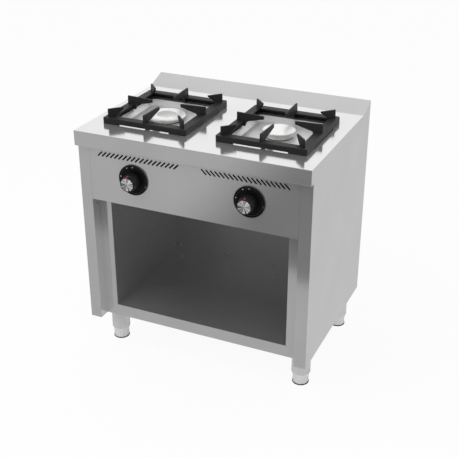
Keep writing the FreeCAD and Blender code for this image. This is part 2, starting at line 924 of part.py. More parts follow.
def finger_half(height):
    """Half of a finger's thickness at a height above the support's feet."""
    draft = (size("finger_thickness") - size("finger_top_thickness")) / 2
    return size("finger_thickness") / 2 - draft * height / size("finger_height")


def soften(body, name, amount, height):
    """Chamfer every edge of the tip that lies wholly at one height."""
    tip = body.Tip
    names = []
    for number, edge in enumerate(tip.Shape.Edges, start=1):
        box = edge.BoundBox
        if abs(box.ZMin - height) < 1e-4 and abs(box.ZMax - height) < 1e-4:
            names.append("Edge%d" % number)
    feature = body.newObject("PartDesign::Chamfer", body.Name + "_" + name)
    feature.Base = (tip, names)
    bind(feature, "Size", amount)
    body.Tip = feature
    return feature


# ---------------------------------------------------------------- burners


def burner_place(sign):
    return size("burner_spacing") / 2 * sign, burner_depth, 0


def cup_radii(side_name):
    outer = size(side_name + "_hole_radius") - size("burner_hole_gap")
    return outer, outer - size("burner_wall")


def build_burner(side_name, sign):
    """Mixing cup hung in the basin's hole by its flange, with the air tube toward the front."""
    outer, inner = cup_radii(side_name)
    flange = size(side_name + "_hole_radius") + size("burner_flange_width")
    low = basin_floor - size("burner_cup_depth")
    body = turned_body(side_name + "_burner", [
        (0, low),
        (outer, low),
        (outer, basin_floor),
        (flange, basin_floor),
        (flange, burner_flange_top),
        (inner, burner_flange_top),
        (inner, low + size("burner_wall")),
        (0, low + size("burner_wall")),
    ], burner_place(sign))
    tube = new_sketch(body, "air_tube", "XZ_Plane", inner + size("burner_wall") / 2)
    circle(tube, size("mixer_radius"), 0, mixer_height)
    pad(tube, size("mixer_length") - inner - size("burner_wall") / 2)
    bore = new_sketch(body, "air_bore", "XZ_Plane")
    circle(bore, size("mixer_radius") - size("mixer_wall"), 0, mixer_height)
    pocket(bore, size("mixer_length"), reverse=True)
    return body


def build_left_crown():
    """Ring burner's head: dished middle with a closed well, an outer ring of ports, gas holes between."""
    cup_inner = cup_radii("left")[1]
    floor = burner_flange_top + part_gap
    top = floor + size("left_crown_height")
    dish = floor + size("crown_floor")
    spigot = cup_inner - clearance
    outer = size("left_crown_radius")
    bore = size("left_crown_bore")
    well = size("left_well_radius")
    well_floor = dish - size("left_well_depth")
    body = turned_body("left_burner_crown", [
        (0, well_floor - size("crown_floor")),
        (well + size("crown_floor"), well_floor - size("crown_floor")),
        (well + size("crown_floor"), floor),
        (spigot - size("crown_spigot_wall"), floor),
        (spigot - size("crown_spigot_wall"), floor - size("crown_spigot")),
        (spigot, floor - size("crown_spigot")),
        (spigot, floor),
        (outer, floor),
        (outer, top),
        (outer - size("crown_wall"), top),
        (outer - size("crown_wall"), dish),
        (bore + size("left_crown_inner_wall"), dish),
        (bore + size("left_crown_inner_wall"), top),
        (bore, top),
        (bore, dish),
        (well, dish),
        (well, well_floor),
        (0, well_floor),
    ], burner_place(-1))
    cut_ports(body, outer, top, size("left_port_count"))
    gasway = new_sketch(body, "gasway", "XY_Plane", floor)
    circle(gasway, size("left_gasway_radius"), size("left_gasway_circle"), 0)
    hole = pocket(gasway, size("crown_floor") * 3, symmetric=True)
    polar_pattern(body, hole, size("left_gasway_count"))
    return body


def build_right_crown():
    """Plain burner's head: an open ring with ports along its top edge."""
    cup_inner = cup_radii("right")[1]
    floor = burner_flange_top + part_gap
    top = floor + size("right_crown_height")
    spigot = cup_inner - clearance
    outer = size("right_crown_radius")
    body = turned_body("right_burner_crown", [
        (spigot - size("crown_spigot_wall"), floor - size("crown_spigot")),
        (spigot, floor - size("crown_spigot")),
        (spigot, floor),
        (outer, floor),
        (outer, top),
        (outer - size("crown_wall"), top),
        (outer - size("crown_wall"), floor + size("crown_floor")),
        (spigot - size("crown_spigot_wall"), floor + size("crown_floor")),
    ], burner_place(1))
    cut_ports(body, outer, top, size("right_port_count"))
    return body


def cut_ports(body, outer, top, count):
    """Flame ports: notches in the crown's wall, open to the cap."""
    port = new_sketch(body, "port", "XZ_Plane", outer - size("crown_wall") - size("crown_floor"))
    half = size("port_width") / 2
    rectangle(port, -half, top - size("port_depth"), half, top + size("port_depth"))
    cut = pocket(port, size("crown_wall") * 2, reverse=True)
    polar_pattern(body, cut, count)


def cap_rib(side_name):
    """Outer and inner radius of the rib that centres a cap in its crown."""
    outer = size(side_name + "_crown_radius") - size("crown_wall") - clearance
    return outer, outer - size("cap_rib_wall")


def build_left_cap():
    """Flat ring with a bevelled rim over the crown's ports."""
    low = burner_flange_top + part_gap + size("left_crown_height") + part_gap
    top = low + size("left_cap_thickness")
    rib, rib_inner = cap_rib("left")
    edge = size("left_cap_radius")
    bore = size("left_cap_bore")
    return turned_body("left_burner_cap", [
        (bore, low),
        (bore, top - size("right_cap_bevel")),
        (bore + size("right_cap_bevel"), top),
        (edge - size("left_cap_bevel_run"), top),
        (edge, top - size("left_cap_bevel_drop")),
        (edge, low),
        (rib, low),
        (rib, low - size("cap_rib_depth")),
        (rib_inner, low - size("cap_rib_depth")),
        (rib_inner, low),
    ], burner_place(-1))


def build_right_cap():
    """Plain disc over the crown."""
    low = burner_flange_top + part_gap + size("right_crown_height") + part_gap
    top = low + size("right_cap_thickness")
    rib, rib_inner = cap_rib("right")
    edge = size("right_cap_radius")
    return turned_body("right_burner_cap", [
        (0, low),
        (rib_inner, low),
        (rib_inner, low - size("cap_rib_depth")),
        (rib, low - size("cap_rib_depth")),
        (rib, low),
        (edge, low),
        (edge, top - size("right_cap_bevel")),
        (edge - size("right_cap_bevel"), top),
        (0, top),
    ], burner_place(1))


# ---------------------------------------------------------------- taps and knobs


def knob_place(sign):
    return knob_offset * sign, body_front, knob_height


def build_bezel(side_name, sign):
    """Round plate behind the knob: a flat rim and a dished middle."""
    step = size("bezel_radius") - size("bezel_rim_width")
    dish = size("bezel_thickness") - size("bezel_dish")
    return turned_body(side_name + "_bezel", [
        (size("bezel_bore"), 0),
        (size("bezel_radius"), 0),
        (size("bezel_radius"), size("bezel_thickness")),
        (step, size("bezel_thickness")),
        (step - size("bezel_dish"), dish),
        (size("bezel_bore"), dish),
    ], knob_place(sign), facing_front())


def knob_levels():
    dish = size("bezel_thickness") - size("bezel_dish")
    rear = dish + size("knob_rear_gap")
    disc_seat = size("knob_front") - size("knob_disc_thickness")
    nose = size("knob_front") - size("knob_disc_proud")
    hub_rear = rear + size("knob_hub_setback")
    return rear, disc_seat, nose, hub_rear


def build_knob(side_name, sign):
    """Tapered shell with a hub for the spindle and a seat for the end disc."""
    rear, disc_seat, nose, hub_rear = knob_levels()
    wall = size("knob_wall")
    front_inside = disc_seat - wall
    return turned_body(side_name + "_knob", [
        (0, disc_seat),
        (size("knob_disc_radius"), disc_seat),
        (size("knob_disc_radius"), nose),
        (size("knob_nose_radius"), nose),
        (size("knob_skirt_radius"), rear + size("knob_skirt_height")),
        (size("knob_skirt_radius"), rear),
        (size("knob_skirt_radius") - wall, rear),
        (size("knob_skirt_radius") - wall, rear + size("knob_skirt_height")),
        (size("knob_nose_radius") - wall, front_inside),
        (size("knob_hub_radius"), front_inside),
        (size("knob_hub_radius"), hub_rear),
        (size("spindle_radius"), hub_rear),
        (size("spindle_radius"), hub_rear + size("spindle_seat")),
        (0, hub_rear + size("spindle_seat")),
    ], knob_place(sign), facing_front())


def build_knob_disc(side_name, sign):
    disc_seat = knob_levels()[1]
    return turned_body(side_name + "_knob_disc", [
        (0, disc_seat),
        (size("knob_disc_radius"), disc_seat),
        (size("knob_disc_radius"), size("knob_front")),
        (0, size("knob_front")),
    ], knob_place(sign), facing_front())


def build_spindle(side_name, sign):
    """Tap spindle: its front end is held in the knob's hub, its tail is bored for the push rod."""
    hub_rear = knob_levels()[3]
    tail = -size("spindle_tail")
    bore = size("rod_radius") + clearance
    return turned_body(side_name + "_spindle", [
        (0, tail + size("rod_seat") + part_gap),
        (bore, tail + size("rod_seat") + part_gap),
        (bore, tail),
        (size("spindle_radius"), tail),
        (size("spindle_radius"), hub_rear + size("spindle_seat")),
        (0, hub_rear + size("spindle_seat")),
    ], knob_place(sign), facing_front())


def build_push_rod(side_name, sign):
    """Rod that the spindle turns about and pushes in."""
    front = -size("spindle_tail") + size("rod_seat")
    return turned_body(side_name + "_push_rod", [
        (0, front - size("rod_length")),
        (size("rod_radius"), front - size("rod_length")),
        (size("rod_radius"), front),
        (0, front),
    ], knob_place(sign), facing_front())


def build_tap(side_name, sign):
    """Gas tap: barrel bored for spindle and rod, neck toward the panel, saddle down to the manifold."""
    spindle_bore = size("spindle_radius") + clearance
    spindle_end = -size("spindle_tail") - size("push_travel") - size("tap_panel_gap") / 2
    rod_bore = size("rod_radius") + clearance
    rod_end = (-size("spindle_tail") + size("rod_seat") - size("rod_length")
               - size("push_travel") - size("tap_panel_gap") / 2)
    neck = -tap_front - size("tap_neck_length")
    body = turned_body(side_name + "_gas_tap", [
        (0, -tap_rear),
        (size("tap_radius"), -tap_rear),
        (size("tap_radius"), neck),
        (size("tap_neck_radius"), neck),
        (size("tap_neck_radius"), -tap_front),
        (spindle_bore, -tap_front),
        (spindle_bore, spindle_end),
        (rod_bore, spindle_end),
        (rod_bore, rod_end),
        (0, rod_end),
    ], knob_place(sign), facing_front())
    saddle = new_sketch(body, "saddle", "XZ_Plane", size("tap_radius") / 2)
    circle(saddle, size("saddle_radius"), 0, -size("manifold_setback"))
    pad(saddle, size("manifold_drop") - size("tap_radius") / 2)
    seat = new_sketch(body, "saddle_seat", "YZ_Plane")
    circle(seat, size("manifold_radius"), -size("manifold_drop"), -size("manifold_setback"))
    pocket(seat, size("tap_radius") * 4, symmetric=True)
    return body


# ---------------------------------------------------------------- gas pipes


def bent_path(sketch, corners, radius):
    """Open run of level and upright lines joined by tangent arcs of one radius."""
    radius = measure(radius)
    corners = [(measure(across), measure(up)) for across, up in corners]
    points = [FreeCAD.Vector(across.value, up.value, 0) for across, up in corners]
    steps = [(after - before).normalize() for before, after in zip(points, points[1:])]
    lines = []
    for number, step in enumerate(steps):
        start = points[number] + (step * radius.value if number else FreeCAD.Vector())
        last = number == len(steps) - 1
        end = points[number + 1] - (FreeCAD.Vector() if last else step * radius.value)
        line = sketch.addGeometry(Part.LineSegment(start, end), False)
        level = abs(step.y) < abs(step.x)
        sketch.addConstraint(Sketcher.Constraint("Horizontal" if level else "Vertical", line))
        if number == 0:
            fix_point(sketch, line, 1, *corners[0])
        elif last:
            fix_point(sketch, line, 2, *corners[-1])
        elif level:
            fix(sketch, "DistanceY", line, 1, corners[number][1])
        else:
            fix(sketch, "DistanceX", line, 1, corners[number][0])
        lines.append(line)
    for number, (before, after) in enumerate(zip(steps, steps[1:])):
        corner = points[number + 1]
        centre = corner + (after - before) * radius.value
        first = corner - before * radius.value - centre
        second = corner + after * radius.value - centre
        left_turn = before.x * after.y - before.y * after.x > 0
        start, end = (first, second) if left_turn else (second, first)
        arc = sketch.addGeometry(Part.ArcOfCircle(
            Part.Circle(centre, FreeCAD.Vector(0, 0, 1), radius.value),
            math.atan2(start.y, start.x), math.atan2(end.y, end.x)), False)
        enter, leave = (1, 2) if left_turn else (2, 1)
        sketch.addConstraint(Sketcher.Constraint("Tangent", lines[number], 2, arc, enter))
        sketch.addConstraint(Sketcher.Constraint("Tangent", arc, leave, lines[number + 1], 1))
        index = sketch.addConstraint(Sketcher.Constraint("Radius", arc, radius.value))
        bind(sketch, "Constraints[%d]" % index, radius)


def swept(body, path, profile):
    """Pipe swept along a path from a profile sketch."""
    pipe = body.newObject("PartDesign::AdditivePipe", body.Name + "_run")
    pipe.Profile = profile
    pipe.Spine = path


def build_manifold():
    """Pipe under the taps that turns to the rear beside the right-hand burner."""
    body = new_body("gas_manifold", (0, 0, manifold_height))
    path = new_sketch(body, "path", "XY_Plane")
    bent_path(path, [
        (-size("manifold_left_end"), manifold_front),
        (half_width - size("manifold_side_inset"), manifold_front),
        (half_width - size("manifold_side_inset"), rear_edge - size("manifold_rear_end")),
    ], size("manifold_bend"))
    end = new_sketch(body, "end", "YZ_Plane", -size("manifold_left_end"))
    circle(end, size("manifold_radius"), manifold_front, 0)
    circle(end, size("manifold_radius") - size("manifold_wall"), manifold_front, 0)
    swept(body, path, end)
    return body


def build_manifold_plug():
    """Plug that closes the manifold's left end."""
    body = new_body("manifold_plug", (-size("manifold_left_end"), manifold_front, manifold_height))
    head = new_sketch(body, "head", "YZ_Plane")
    circle(head, size("plug_radius"))
    pad(head, size("plug_length"), reverse=True)
    stem = new_sketch(body, "stem", "YZ_Plane")
    circle(stem, size("manifold_radius") - size("manifold_wall"))
    pad(stem, size("plug_seat"))
    return body


def build_manifold_bracket(side_name, sign):
    """Upright plate on the compartment floor that carries the manifold."""
    base = panel_bottom + sheet
    half = size("bracket_width") / 2
    body = new_body(side_name + "_manifold_bracket", (size("bracket_offset") * sign, 0, 0))
    plate = new_sketch(body, "plate", "YZ_Plane")
    top = manifold_height + size("manifold_radius") + size("bracket_width") / 4
    rectangle(plate, manifold_front - half / 2 * 1.5, base, manifold_front + half, top)
    circle(plate, size("manifold_radius") + clearance, manifold_front, manifold_height)
    pad(plate, size("bracket_sheet"))
    foot = new_sketch(body, "foot", "XY_Plane", base)
    rectangle(foot, size("bracket_sheet"), stile_front, size("bracket_sheet") + half, manifold_front + half)
    pad(foot, size("bracket_sheet"))
    return body


def build_gas_inlet():
    """Hexagon and threaded end at the rear for the supply hose."""
    body = new_body("gas_inlet", (half_width - size("manifold_side_inset"), 0, manifold_height))
    start = rear_edge - size("manifold_rear_end")
    nut = new_sketch(body, "nut", "XZ_Plane", -start)
    hexagon(nut, size("inlet_hex_radius"))
    pad(nut, size("inlet_hex_length"), reverse=True)
    thread = new_sketch(body, "thread", "XZ_Plane", -start - size("inlet_hex_length"))
    circle(thread, size("inlet_radius"))
    pad(thread, size("inlet_pin_length"), reverse=True)
    bore = new_sketch(body, "bore", "XZ_Plane", -start)
    circle(bore, size("inlet_bore"))
    pocket(bore, size("inlet_hex_length") + size("inlet_pin_length"))
    return body


def build_supply_pipe(side_name, sign):
    """Thin pipe from the tap's rear end up to the injector."""
    body = new_body(side_name + "_supply_pipe", (knob_offset * sign, 0, 0))
    start = body_front + tap_rear
    middle = (start + injector_front) / 2
    path = new_sketch(body, "path", "YZ_Plane")
    bent_path(path, [
        (start, knob_height),
        (middle, knob_height),
        (middle, mixer_height),
        (injector_front, mixer_height),
    ], (injector_front - start) * 0.45)
    end = new_sketch(body, "end", "XZ_Plane", -start)
    circle(end, size("supply_radius"), 0, knob_height)
    swept(body, path, end)
    return body


def build_injector(side_name, sign):
    """Jet that blows the gas into the open end of the air tube."""
    body = new_body(side_name + "_injector", (knob_offset * sign, 0, mixer_height))
    barrel = new_sketch(body, "barrel", "XZ_Plane", -injector_rear)
    circle(barrel, size("injector_radius"))
    circle(barrel, size("injector_jet_radius"))
    pad(barrel, size("injector_length"))
    return body


# ---------------------------------------------------------------- build, check and write

build_worktop()
build_control_panel()
build_inner_back_wall()
build_bottom_shelf()
build_back_wall_rivets()
build_compartment_floor()
build_back_panel()
build_leg_bolts()
build_left_crown()
build_right_crown()
build_left_cap()
build_right_cap()
build_manifold()
build_manifold_plug()
build_gas_inlet()
for side_name, sign in SIDES:
    build_side_panel(side_name, sign)
    build_inner_wall(side_name, sign)
    build_base_channel(side_name, sign)
    build_pan_support(side_name, sign)
    build_burner(side_name, sign)
    build_bezel(side_name, sign)
    build_knob(side_name, sign)
    build_knob_disc(side_name, sign)
    build_spindle(side_name, sign)
    build_push_rod(side_name, sign)
    build_tap(side_name, sign)
    build_manifold_bracket(side_name, sign)
    build_supply_pipe(side_name, sign)
    build_injector(side_name, sign)
    for row_name, setback in LEG_ROWS:
        corner_name = row_name + "_" + side_name
        build_leg(corner_name + "_leg", sign, setback)
        build_foot(corner_name + "_foot", sign, setback)
        build_foot_pad(corner_name + "_foot_pad", sign, setback)
document.recompute()

faults = []
for thing in document.Objects:
    if "Invalid" in thing.State or "Error" in thing.State:
        faults.append("%s: %s" % (thing.Name, thing.State))
bodies = [thing for thing in document.Objects if thing.TypeId == "PartDesign::Body"]
for body in bodies:
    if body.Shape.isNull() or not body.Shape.isValid():
        faults.append(body.Label + ": shape is missing or not valid")
    elif body.Shape.Volume <= 0:
        faults.append(body.Label + ": shape is inside out")
if faults:
    raise RuntimeError("; ".join(faults))

os.makedirs("parts", exist_ok=True)
for body in bodies:
    body.Shape.exportStep("parts/%s.step" % body.Label)
    box = body.Shape.BoundBox
    print("%-28s solids %2d  faces %4d  x %8.2f %8.2f  y %8.2f %8.2f  z %8.2f %8.2f" % (
        body.Label, len(body.Shape.Solids), len(body.Shape.Faces),
        box.XMin, box.XMax, box.YMin, box.YMax, box.ZMin, box.ZMax))
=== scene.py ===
import json
import math

import bmesh
import bpy
from mathutils import Matrix, Vector


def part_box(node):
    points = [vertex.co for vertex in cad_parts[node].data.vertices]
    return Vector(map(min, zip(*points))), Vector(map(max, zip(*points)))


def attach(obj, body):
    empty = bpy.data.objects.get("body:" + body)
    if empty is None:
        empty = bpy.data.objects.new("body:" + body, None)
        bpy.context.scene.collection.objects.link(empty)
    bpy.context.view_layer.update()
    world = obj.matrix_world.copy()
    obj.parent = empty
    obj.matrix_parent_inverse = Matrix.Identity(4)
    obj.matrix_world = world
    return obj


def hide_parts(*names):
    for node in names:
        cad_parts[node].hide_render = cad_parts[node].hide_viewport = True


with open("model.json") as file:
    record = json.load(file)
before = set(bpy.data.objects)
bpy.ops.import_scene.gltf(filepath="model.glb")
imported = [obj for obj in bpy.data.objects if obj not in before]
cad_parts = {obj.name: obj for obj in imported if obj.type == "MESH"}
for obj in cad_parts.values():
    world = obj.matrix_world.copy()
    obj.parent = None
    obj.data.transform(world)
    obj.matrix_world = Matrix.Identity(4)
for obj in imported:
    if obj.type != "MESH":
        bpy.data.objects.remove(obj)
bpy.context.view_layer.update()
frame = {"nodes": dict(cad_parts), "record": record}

bl_info = {
    "name": "Two-burner gas range",
    "version": (1, 0, 0),
    "blender": (4, 5, 0),
    "location": "3D View > Sidebar > Gas range",
    "description": "Dresses the packed gas range with finishes and small details, and sets its studio",
    "category": "Object",
}

SIDES = ("left", "right")
CORNERS = ("front_left", "front_right", "rear_left", "rear_right")
PATTERN_RANGE = (0.25, 0.75)


def node_box(name):
    """Lowest and highest corner of a CAD node."""
    low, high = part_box(name)
    return Vector(low), Vector(high)


def node_centre(name):
    low, high = node_box(name)
    return (low + high) / 2


# ---------------------------------------------------------------- sizes and colours


class GasRangeFinish(bpy.types.PropertyGroup):
    """Colours and gloss of the range's finishes."""

    steel_colour: bpy.props.FloatVectorProperty(
        name="Steel", description="Colour of the stainless sheets", subtype="COLOR",
        default=(0.80, 0.80, 0.80), min=0.0, max=1.0)
    steel_metallic: bpy.props.FloatProperty(
        name="Steel metallic", description="Share of mirror-like reflection in the sheets",
        default=0.86, min=0.0, max=1.0, subtype="FACTOR")
    steel_roughness: bpy.props.FloatProperty(
        name="Steel roughness", description="Blur of the reflections in the sheets",
        default=0.13, min=0.0, max=1.0, subtype="FACTOR")
    # Painted shade: the cabinet's inner colour is darker than the steel sheets to stand in for the shade
    # inside the open cabinet.
    cabinet_shade_colour: bpy.props.FloatVectorProperty(
        name="Cabinet steel", description="Colour of the sheets inside the cabinet", subtype="COLOR",
        default=(0.50, 0.50, 0.50), min=0.0, max=1.0)
    leg_colour: bpy.props.FloatVectorProperty(
        name="Legs", description="Colour of the leg tubes and feet", subtype="COLOR",
        default=(0.84, 0.84, 0.84), min=0.0, max=1.0)
    iron_colour: bpy.props.FloatVectorProperty(
        name="Pan supports", description="Matt black of the cast pan supports", subtype="COLOR",
        default=(0.013, 0.013, 0.014), min=0.0, max=1.0)
    burner_colour: bpy.props.FloatVectorProperty(
        name="Burner metal", description="Pale metal of the burner heads and caps", subtype="COLOR",
        default=(0.96, 0.955, 0.94), min=0.0, max=1.0)
    knob_colour: bpy.props.FloatVectorProperty(
        name="Knobs", description="Black of the knobs", subtype="COLOR",
        default=(0.010, 0.010, 0.012), min=0.0, max=1.0)
    bezel_colour: bpy.props.FloatVectorProperty(
        name="Bezels", description="Dark grey of the plates behind the knobs", subtype="COLOR",
        default=(0.022, 0.023, 0.025), min=0.0, max=1.0)
    pointer_colour: bpy.props.FloatVectorProperty(
        name="Pointers", description="Red of the lines on the knobs", subtype="COLOR",
        default=(0.80, 0.045, 0.020), min=0.0, max=1.0)


class GasRangeDetail(bpy.types.PropertyGroup):
    """Sizes of the small details."""

    sheet_edge: bpy.props.FloatProperty(
        name="Sheet edge", description="Rounding of the cut edges of the sheets",
        default=0.0003, min=0.0, unit="LENGTH")
    fold_radius: bpy.props.FloatProperty(
        name="Fold", description="Outer rounding where the worktop's sheet is folded down",
        default=0.0016, min=0.0, unit="LENGTH")
    cast_edge: bpy.props.FloatProperty(
        name="Cast edge", description="Rounding of the cast pieces' edges",
        default=0.0009, min=0.0, unit="LENGTH")
    rivet_radius: bpy.props.FloatProperty(
        name="Rivet radius", description="Radius of the domed rivet heads",
        default=0.0042, min=0.0005, unit="LENGTH")
    rivet_height: bpy.props.FloatProperty(
        name="Rivet height", description="Height of the domed rivet heads",
        default=0.0016, min=0.0002, unit="LENGTH")
    screw_radius: bpy.props.FloatProperty(
        name="Screw radius", description="Radius of the screws of the rear skin",
        default=0.0045, min=0.0005, unit="LENGTH")
    screw_rows: bpy.props.IntProperty(
        name="Screw rows", description="Screws up each side of the rear skin",
        default=5, min=2)
    thread_pitch: bpy.props.FloatProperty(
        name="Thread pitch", description="Distance between the turns of the gas inlet's thread",
        default=0.0018, min=0.0005, unit="LENGTH")
    dot_radius: bpy.props.FloatProperty(
        name="Mark radius", description="Radius of the pale marks on the bezels",
        default=0.0019, min=0.0005, unit="LENGTH")
    dot_circle: bpy.props.FloatProperty(
        name="Mark circle", description="Distance of the marks from the knob's axis",
        default=0.0440, min=0.005, unit="LENGTH")
    disc_radius: bpy.props.FloatProperty(
        name="Disc radius", description="Radius of the bright part of the knobs' end discs",
        default=0.0214, min=0.005, unit="LENGTH")
    skirt_thickness: bpy.props.FloatProperty(
        name="Skirt thickness", description="Thickness of the pan supports' outer skirts",
        default=0.006, min=0.001, unit="LENGTH")
    foot_gap: bpy.props.FloatProperty(
        name="Foot gap", description="Height of the gaps between a pan support's feet",
        default=0.005, min=0.001, unit="LENGTH")
    foot_span: bpy.props.FloatProperty(
        name="Foot span", description="Length of the gaps between a pan support's feet",
        default=0.180, min=0.010, unit="LENGTH")
    basin_half: bpy.props.FloatProperty(
        name="Basin", description="Half of the width of the worktop's spill basins",
        default=0.127, min=0.010, unit="LENGTH")
    front_slit: bpy.props.FloatProperty(
        name="Slit", description="Height of the slit left open under the front and right skirts",
        default=0.003, min=0.0, unit="LENGTH")


class GasRangeStudio(bpy.types.PropertyGroup):
    """Camera and studio."""

    camera_place: bpy.props.FloatVectorProperty(
        name="Camera", description="Where the camera stands", subtype="TRANSLATION", unit="LENGTH",
        default=(1.1388, -2.5094, 1.8225))
    camera_aim: bpy.props.FloatVectorProperty(
        name="Aim", description="Direction in which the camera looks", subtype="DIRECTION",
        default=(-0.3653, 0.8148, -0.4500))
    camera_lens: bpy.props.FloatProperty(
        name="Lens", description="Focal length on a 36 mm frame, in millimetres",
        default=69.95, min=10.0)
    world_strength: bpy.props.FloatProperty(
        name="Room light", description="Brightness of the white room", default=0.80, min=0.0)
    lamp_power: bpy.props.FloatProperty(
        name="Soft box", description="Power of the large soft box overhead, in watts",
        default=28.0, min=0.0)


# ---------------------------------------------------------------- finishes


def new_finish(name):
    """An empty node material with a surface shader; gives (material, tree, shader)."""
    material = bpy.data.materials.new(name)
    material.use_nodes = True
    tree = material.node_tree
    tree.nodes.clear()
    output = tree.nodes.new("ShaderNodeOutputMaterial")
    shader = tree.nodes.new("ShaderNodeBsdfPrincipled")
    tree.links.new(shader.outputs["BSDF"], output.inputs["Surface"])
    return material, tree, shader


def place_pattern(tree, scale, centre=(0.0, 0.0, 0.0)):
    """Object coordinates measured from a centre and stretched; gives the vector socket."""
    source = tree.nodes.new("ShaderNodeTexCoord")
    shift = tree.nodes.new("ShaderNodeVectorMath")
    shift.operation = "SUBTRACT"
    shift.inputs[1].default_value = centre
    stretch = tree.nodes.new("ShaderNodeVectorMath")
    stretch.operation = "MULTIPLY"
    stretch.inputs[1].default_value = scale
    tree.links.new(source.outputs["Object"], shift.inputs[0])
    tree.links.new(shift.outputs[0], stretch.inputs[0])
    return stretch.outputs[0]


def parts_of(tree, output):
    """X, Y and Z of a texture coordinate."""
    source = tree.nodes.new("ShaderNodeTexCoord")
    split = tree.nodes.new("ShaderNodeSeparateXYZ")
    tree.links.new(source.outputs[output], split.inputs[0])
    return split.outputs


def noise(tree, vector, scale=1.0, detail=3.0, roughness=0.55):
    """A 0 to 1 noise pattern; gives its socket."""
    texture = tree.nodes.new("ShaderNodeTexNoise")
    texture.inputs["Scale"].default_value = scale
    texture.inputs["Detail"].default_value = detail
    texture.inputs["Roughness"].default_value = roughness
    tree.links.new(vector, texture.inputs["Vector"])
    return texture.outputs["Fac"]


def rings_about(tree, vector, scale, detail):
    """Fine rings about the origin of a vector."""
    length = tree.nodes.new("ShaderNodeVectorMath")
    length.operation = "LENGTH"
    tree.links.new(vector, length.inputs[0])
    join = tree.nodes.new("ShaderNodeCombineXYZ")
    tree.links.new(length.outputs["Value"], join.inputs["X"])
    return noise(tree, join.outputs[0], scale=scale, detail=detail)


def ranged(tree, value, before, after, smooth=False):
    """Maps one range of numbers onto another; gives the result's socket."""
    node = tree.nodes.new("ShaderNodeMapRange")
    if smooth:
        node.interpolation_type = "SMOOTHSTEP"
    for key, number in zip(("From Min", "From Max", "To Min", "To Max"), before + after):
        node.inputs[key].default_value = number
    tree.links.new(value, node.inputs["Value"])
    return node.outputs["Result"]


def spread(tree, value, low, high):
    """Turns a 0 to 1 pattern into a range of numbers."""
    return ranged(tree, value, PATTERN_RANGE, (low, high))


def tint(tree, value, dark, light, start=0.3, end=0.7):
    """Turns a 0 to 1 pattern into a run of colours."""
    ramp = tree.nodes.new("ShaderNodeValToRGB")
    ramp.color_ramp.elements[0].position = start
    ramp.color_ramp.elements[0].color = (*dark, 1.0)
    ramp.color_ramp.elements[1].position = end
    ramp.color_ramp.elements[1].color = (*light, 1.0)
    tree.links.new(value, ramp.inputs["Fac"])
    return ramp.outputs["Color"]


def relief(tree, shader, value, depth, strength=1.0):
    """Bumps the surface by a pattern, with its depth in metres."""
    bump = tree.nodes.new("ShaderNodeBump")
    bump.inputs["Distance"].default_value = depth
    bump.inputs["Strength"].default_value = strength
    tree.links.new(value, bump.inputs["Height"])
    tree.links.new(bump.outputs["Normal"], shader.inputs["Normal"])


def shaded(colour, factor):
    """A colour made darker or lighter by a factor."""
    return tuple(min(1.0, channel * factor) for channel in colour)


def brushed_steel(name, colour, grain, metallic, roughness, depth=0.000004):
    """Stainless sheet: fine brush lines along one direction, faint cloudiness in colour and gloss."""
    material, tree, shader = new_finish(name)
    across = tuple(14.0 if axis == grain else 900.0 for axis in range(3))
    lines = noise(tree, place_pattern(tree, across), detail=2.0)
    clouds = noise(tree, place_pattern(tree, (5.0, 5.0, 5.0)), detail=4.0)
    tree.links.new(tint(tree, clouds, shaded(colour, 0.965), shaded(colour, 1.03)),
                   shader.inputs["Base Color"])
    tree.links.new(spread(tree, lines, roughness * 0.82, roughness * 1.2), shader.inputs["Roughness"])
    shader.inputs["Metallic"].default_value = metallic
    relief(tree, shader, lines, depth, 0.5)
    return material


def paint_shade_behind(material, plane, factor):
    """Paints shade into a finish's colour behind a plane across Y, where its faces only see the closed body.
    """
    tree = material.node_tree
    shader = next(node for node in tree.nodes if node.type == "BSDF_PRINCIPLED")
    border = 0.0001
    step = ranged(tree, parts_of(tree, "Object")["Y"], (plane, plane + border), (1.0, factor))
    dim = tree.nodes.new("ShaderNodeVectorMath")
    dim.operation = "SCALE"
    tree.links.new(shader.inputs["Base Color"].links[0].from_socket, dim.inputs[0])
    tree.links.new(step, dim.inputs["Scale"])
    tree.links.new(dim.outputs[0], shader.inputs["Base Color"])


def cast_metal(name, colour, metallic, roughness, grit=1400.0, depth=0.00012):
    """Cast surface: fine grit over soft unevenness."""
    material, tree, shader = new_finish(name)
    fine = noise(tree, place_pattern(tree, (grit, grit, grit)), detail=2.0)
    soft = noise(tree, place_pattern(tree, (60.0, 60.0, 60.0)), detail=4.0)
    tree.links.new(tint(tree, soft, shaded(colour, 0.8), shaded(colour, 1.25)), shader.inputs["Base Color"])
    tree.links.new(spread(tree, soft, roughness * 0.85, roughness * 1.15), shader.inputs["Roughness"])
    shader.inputs["Metallic"].default_value = metallic
    relief(tree, shader, fine, depth, 0.35)
    return material


def turned_metal(name, colour, centre, axis, metallic, roughness, pitch=1500.0, depth=0.000012):
    """Machined surface: fine rings about an axis."""
    material, tree, shader = new_finish(name)
    flat = tuple(0.0 if number == axis else 1.0 for number in range(3))
    vector = place_pattern(tree, flat, centre)
    rings = rings_about(tree, vector, pitch, 2.0)
    wear = noise(tree, place_pattern(tree, (70.0, 70.0, 70.0)), detail=4.0)
    tree.links.new(tint(tree, wear, shaded(colour, 0.9), shaded(colour, 1.06)), shader.inputs["Base Color"])
    tree.links.new(spread(tree, rings, roughness * 0.75, roughness * 1.25), shader.inputs["Roughness"])
    shader.inputs["Metallic"].default_value = metallic
    relief(tree, shader, rings, depth, 0.6)
    return material


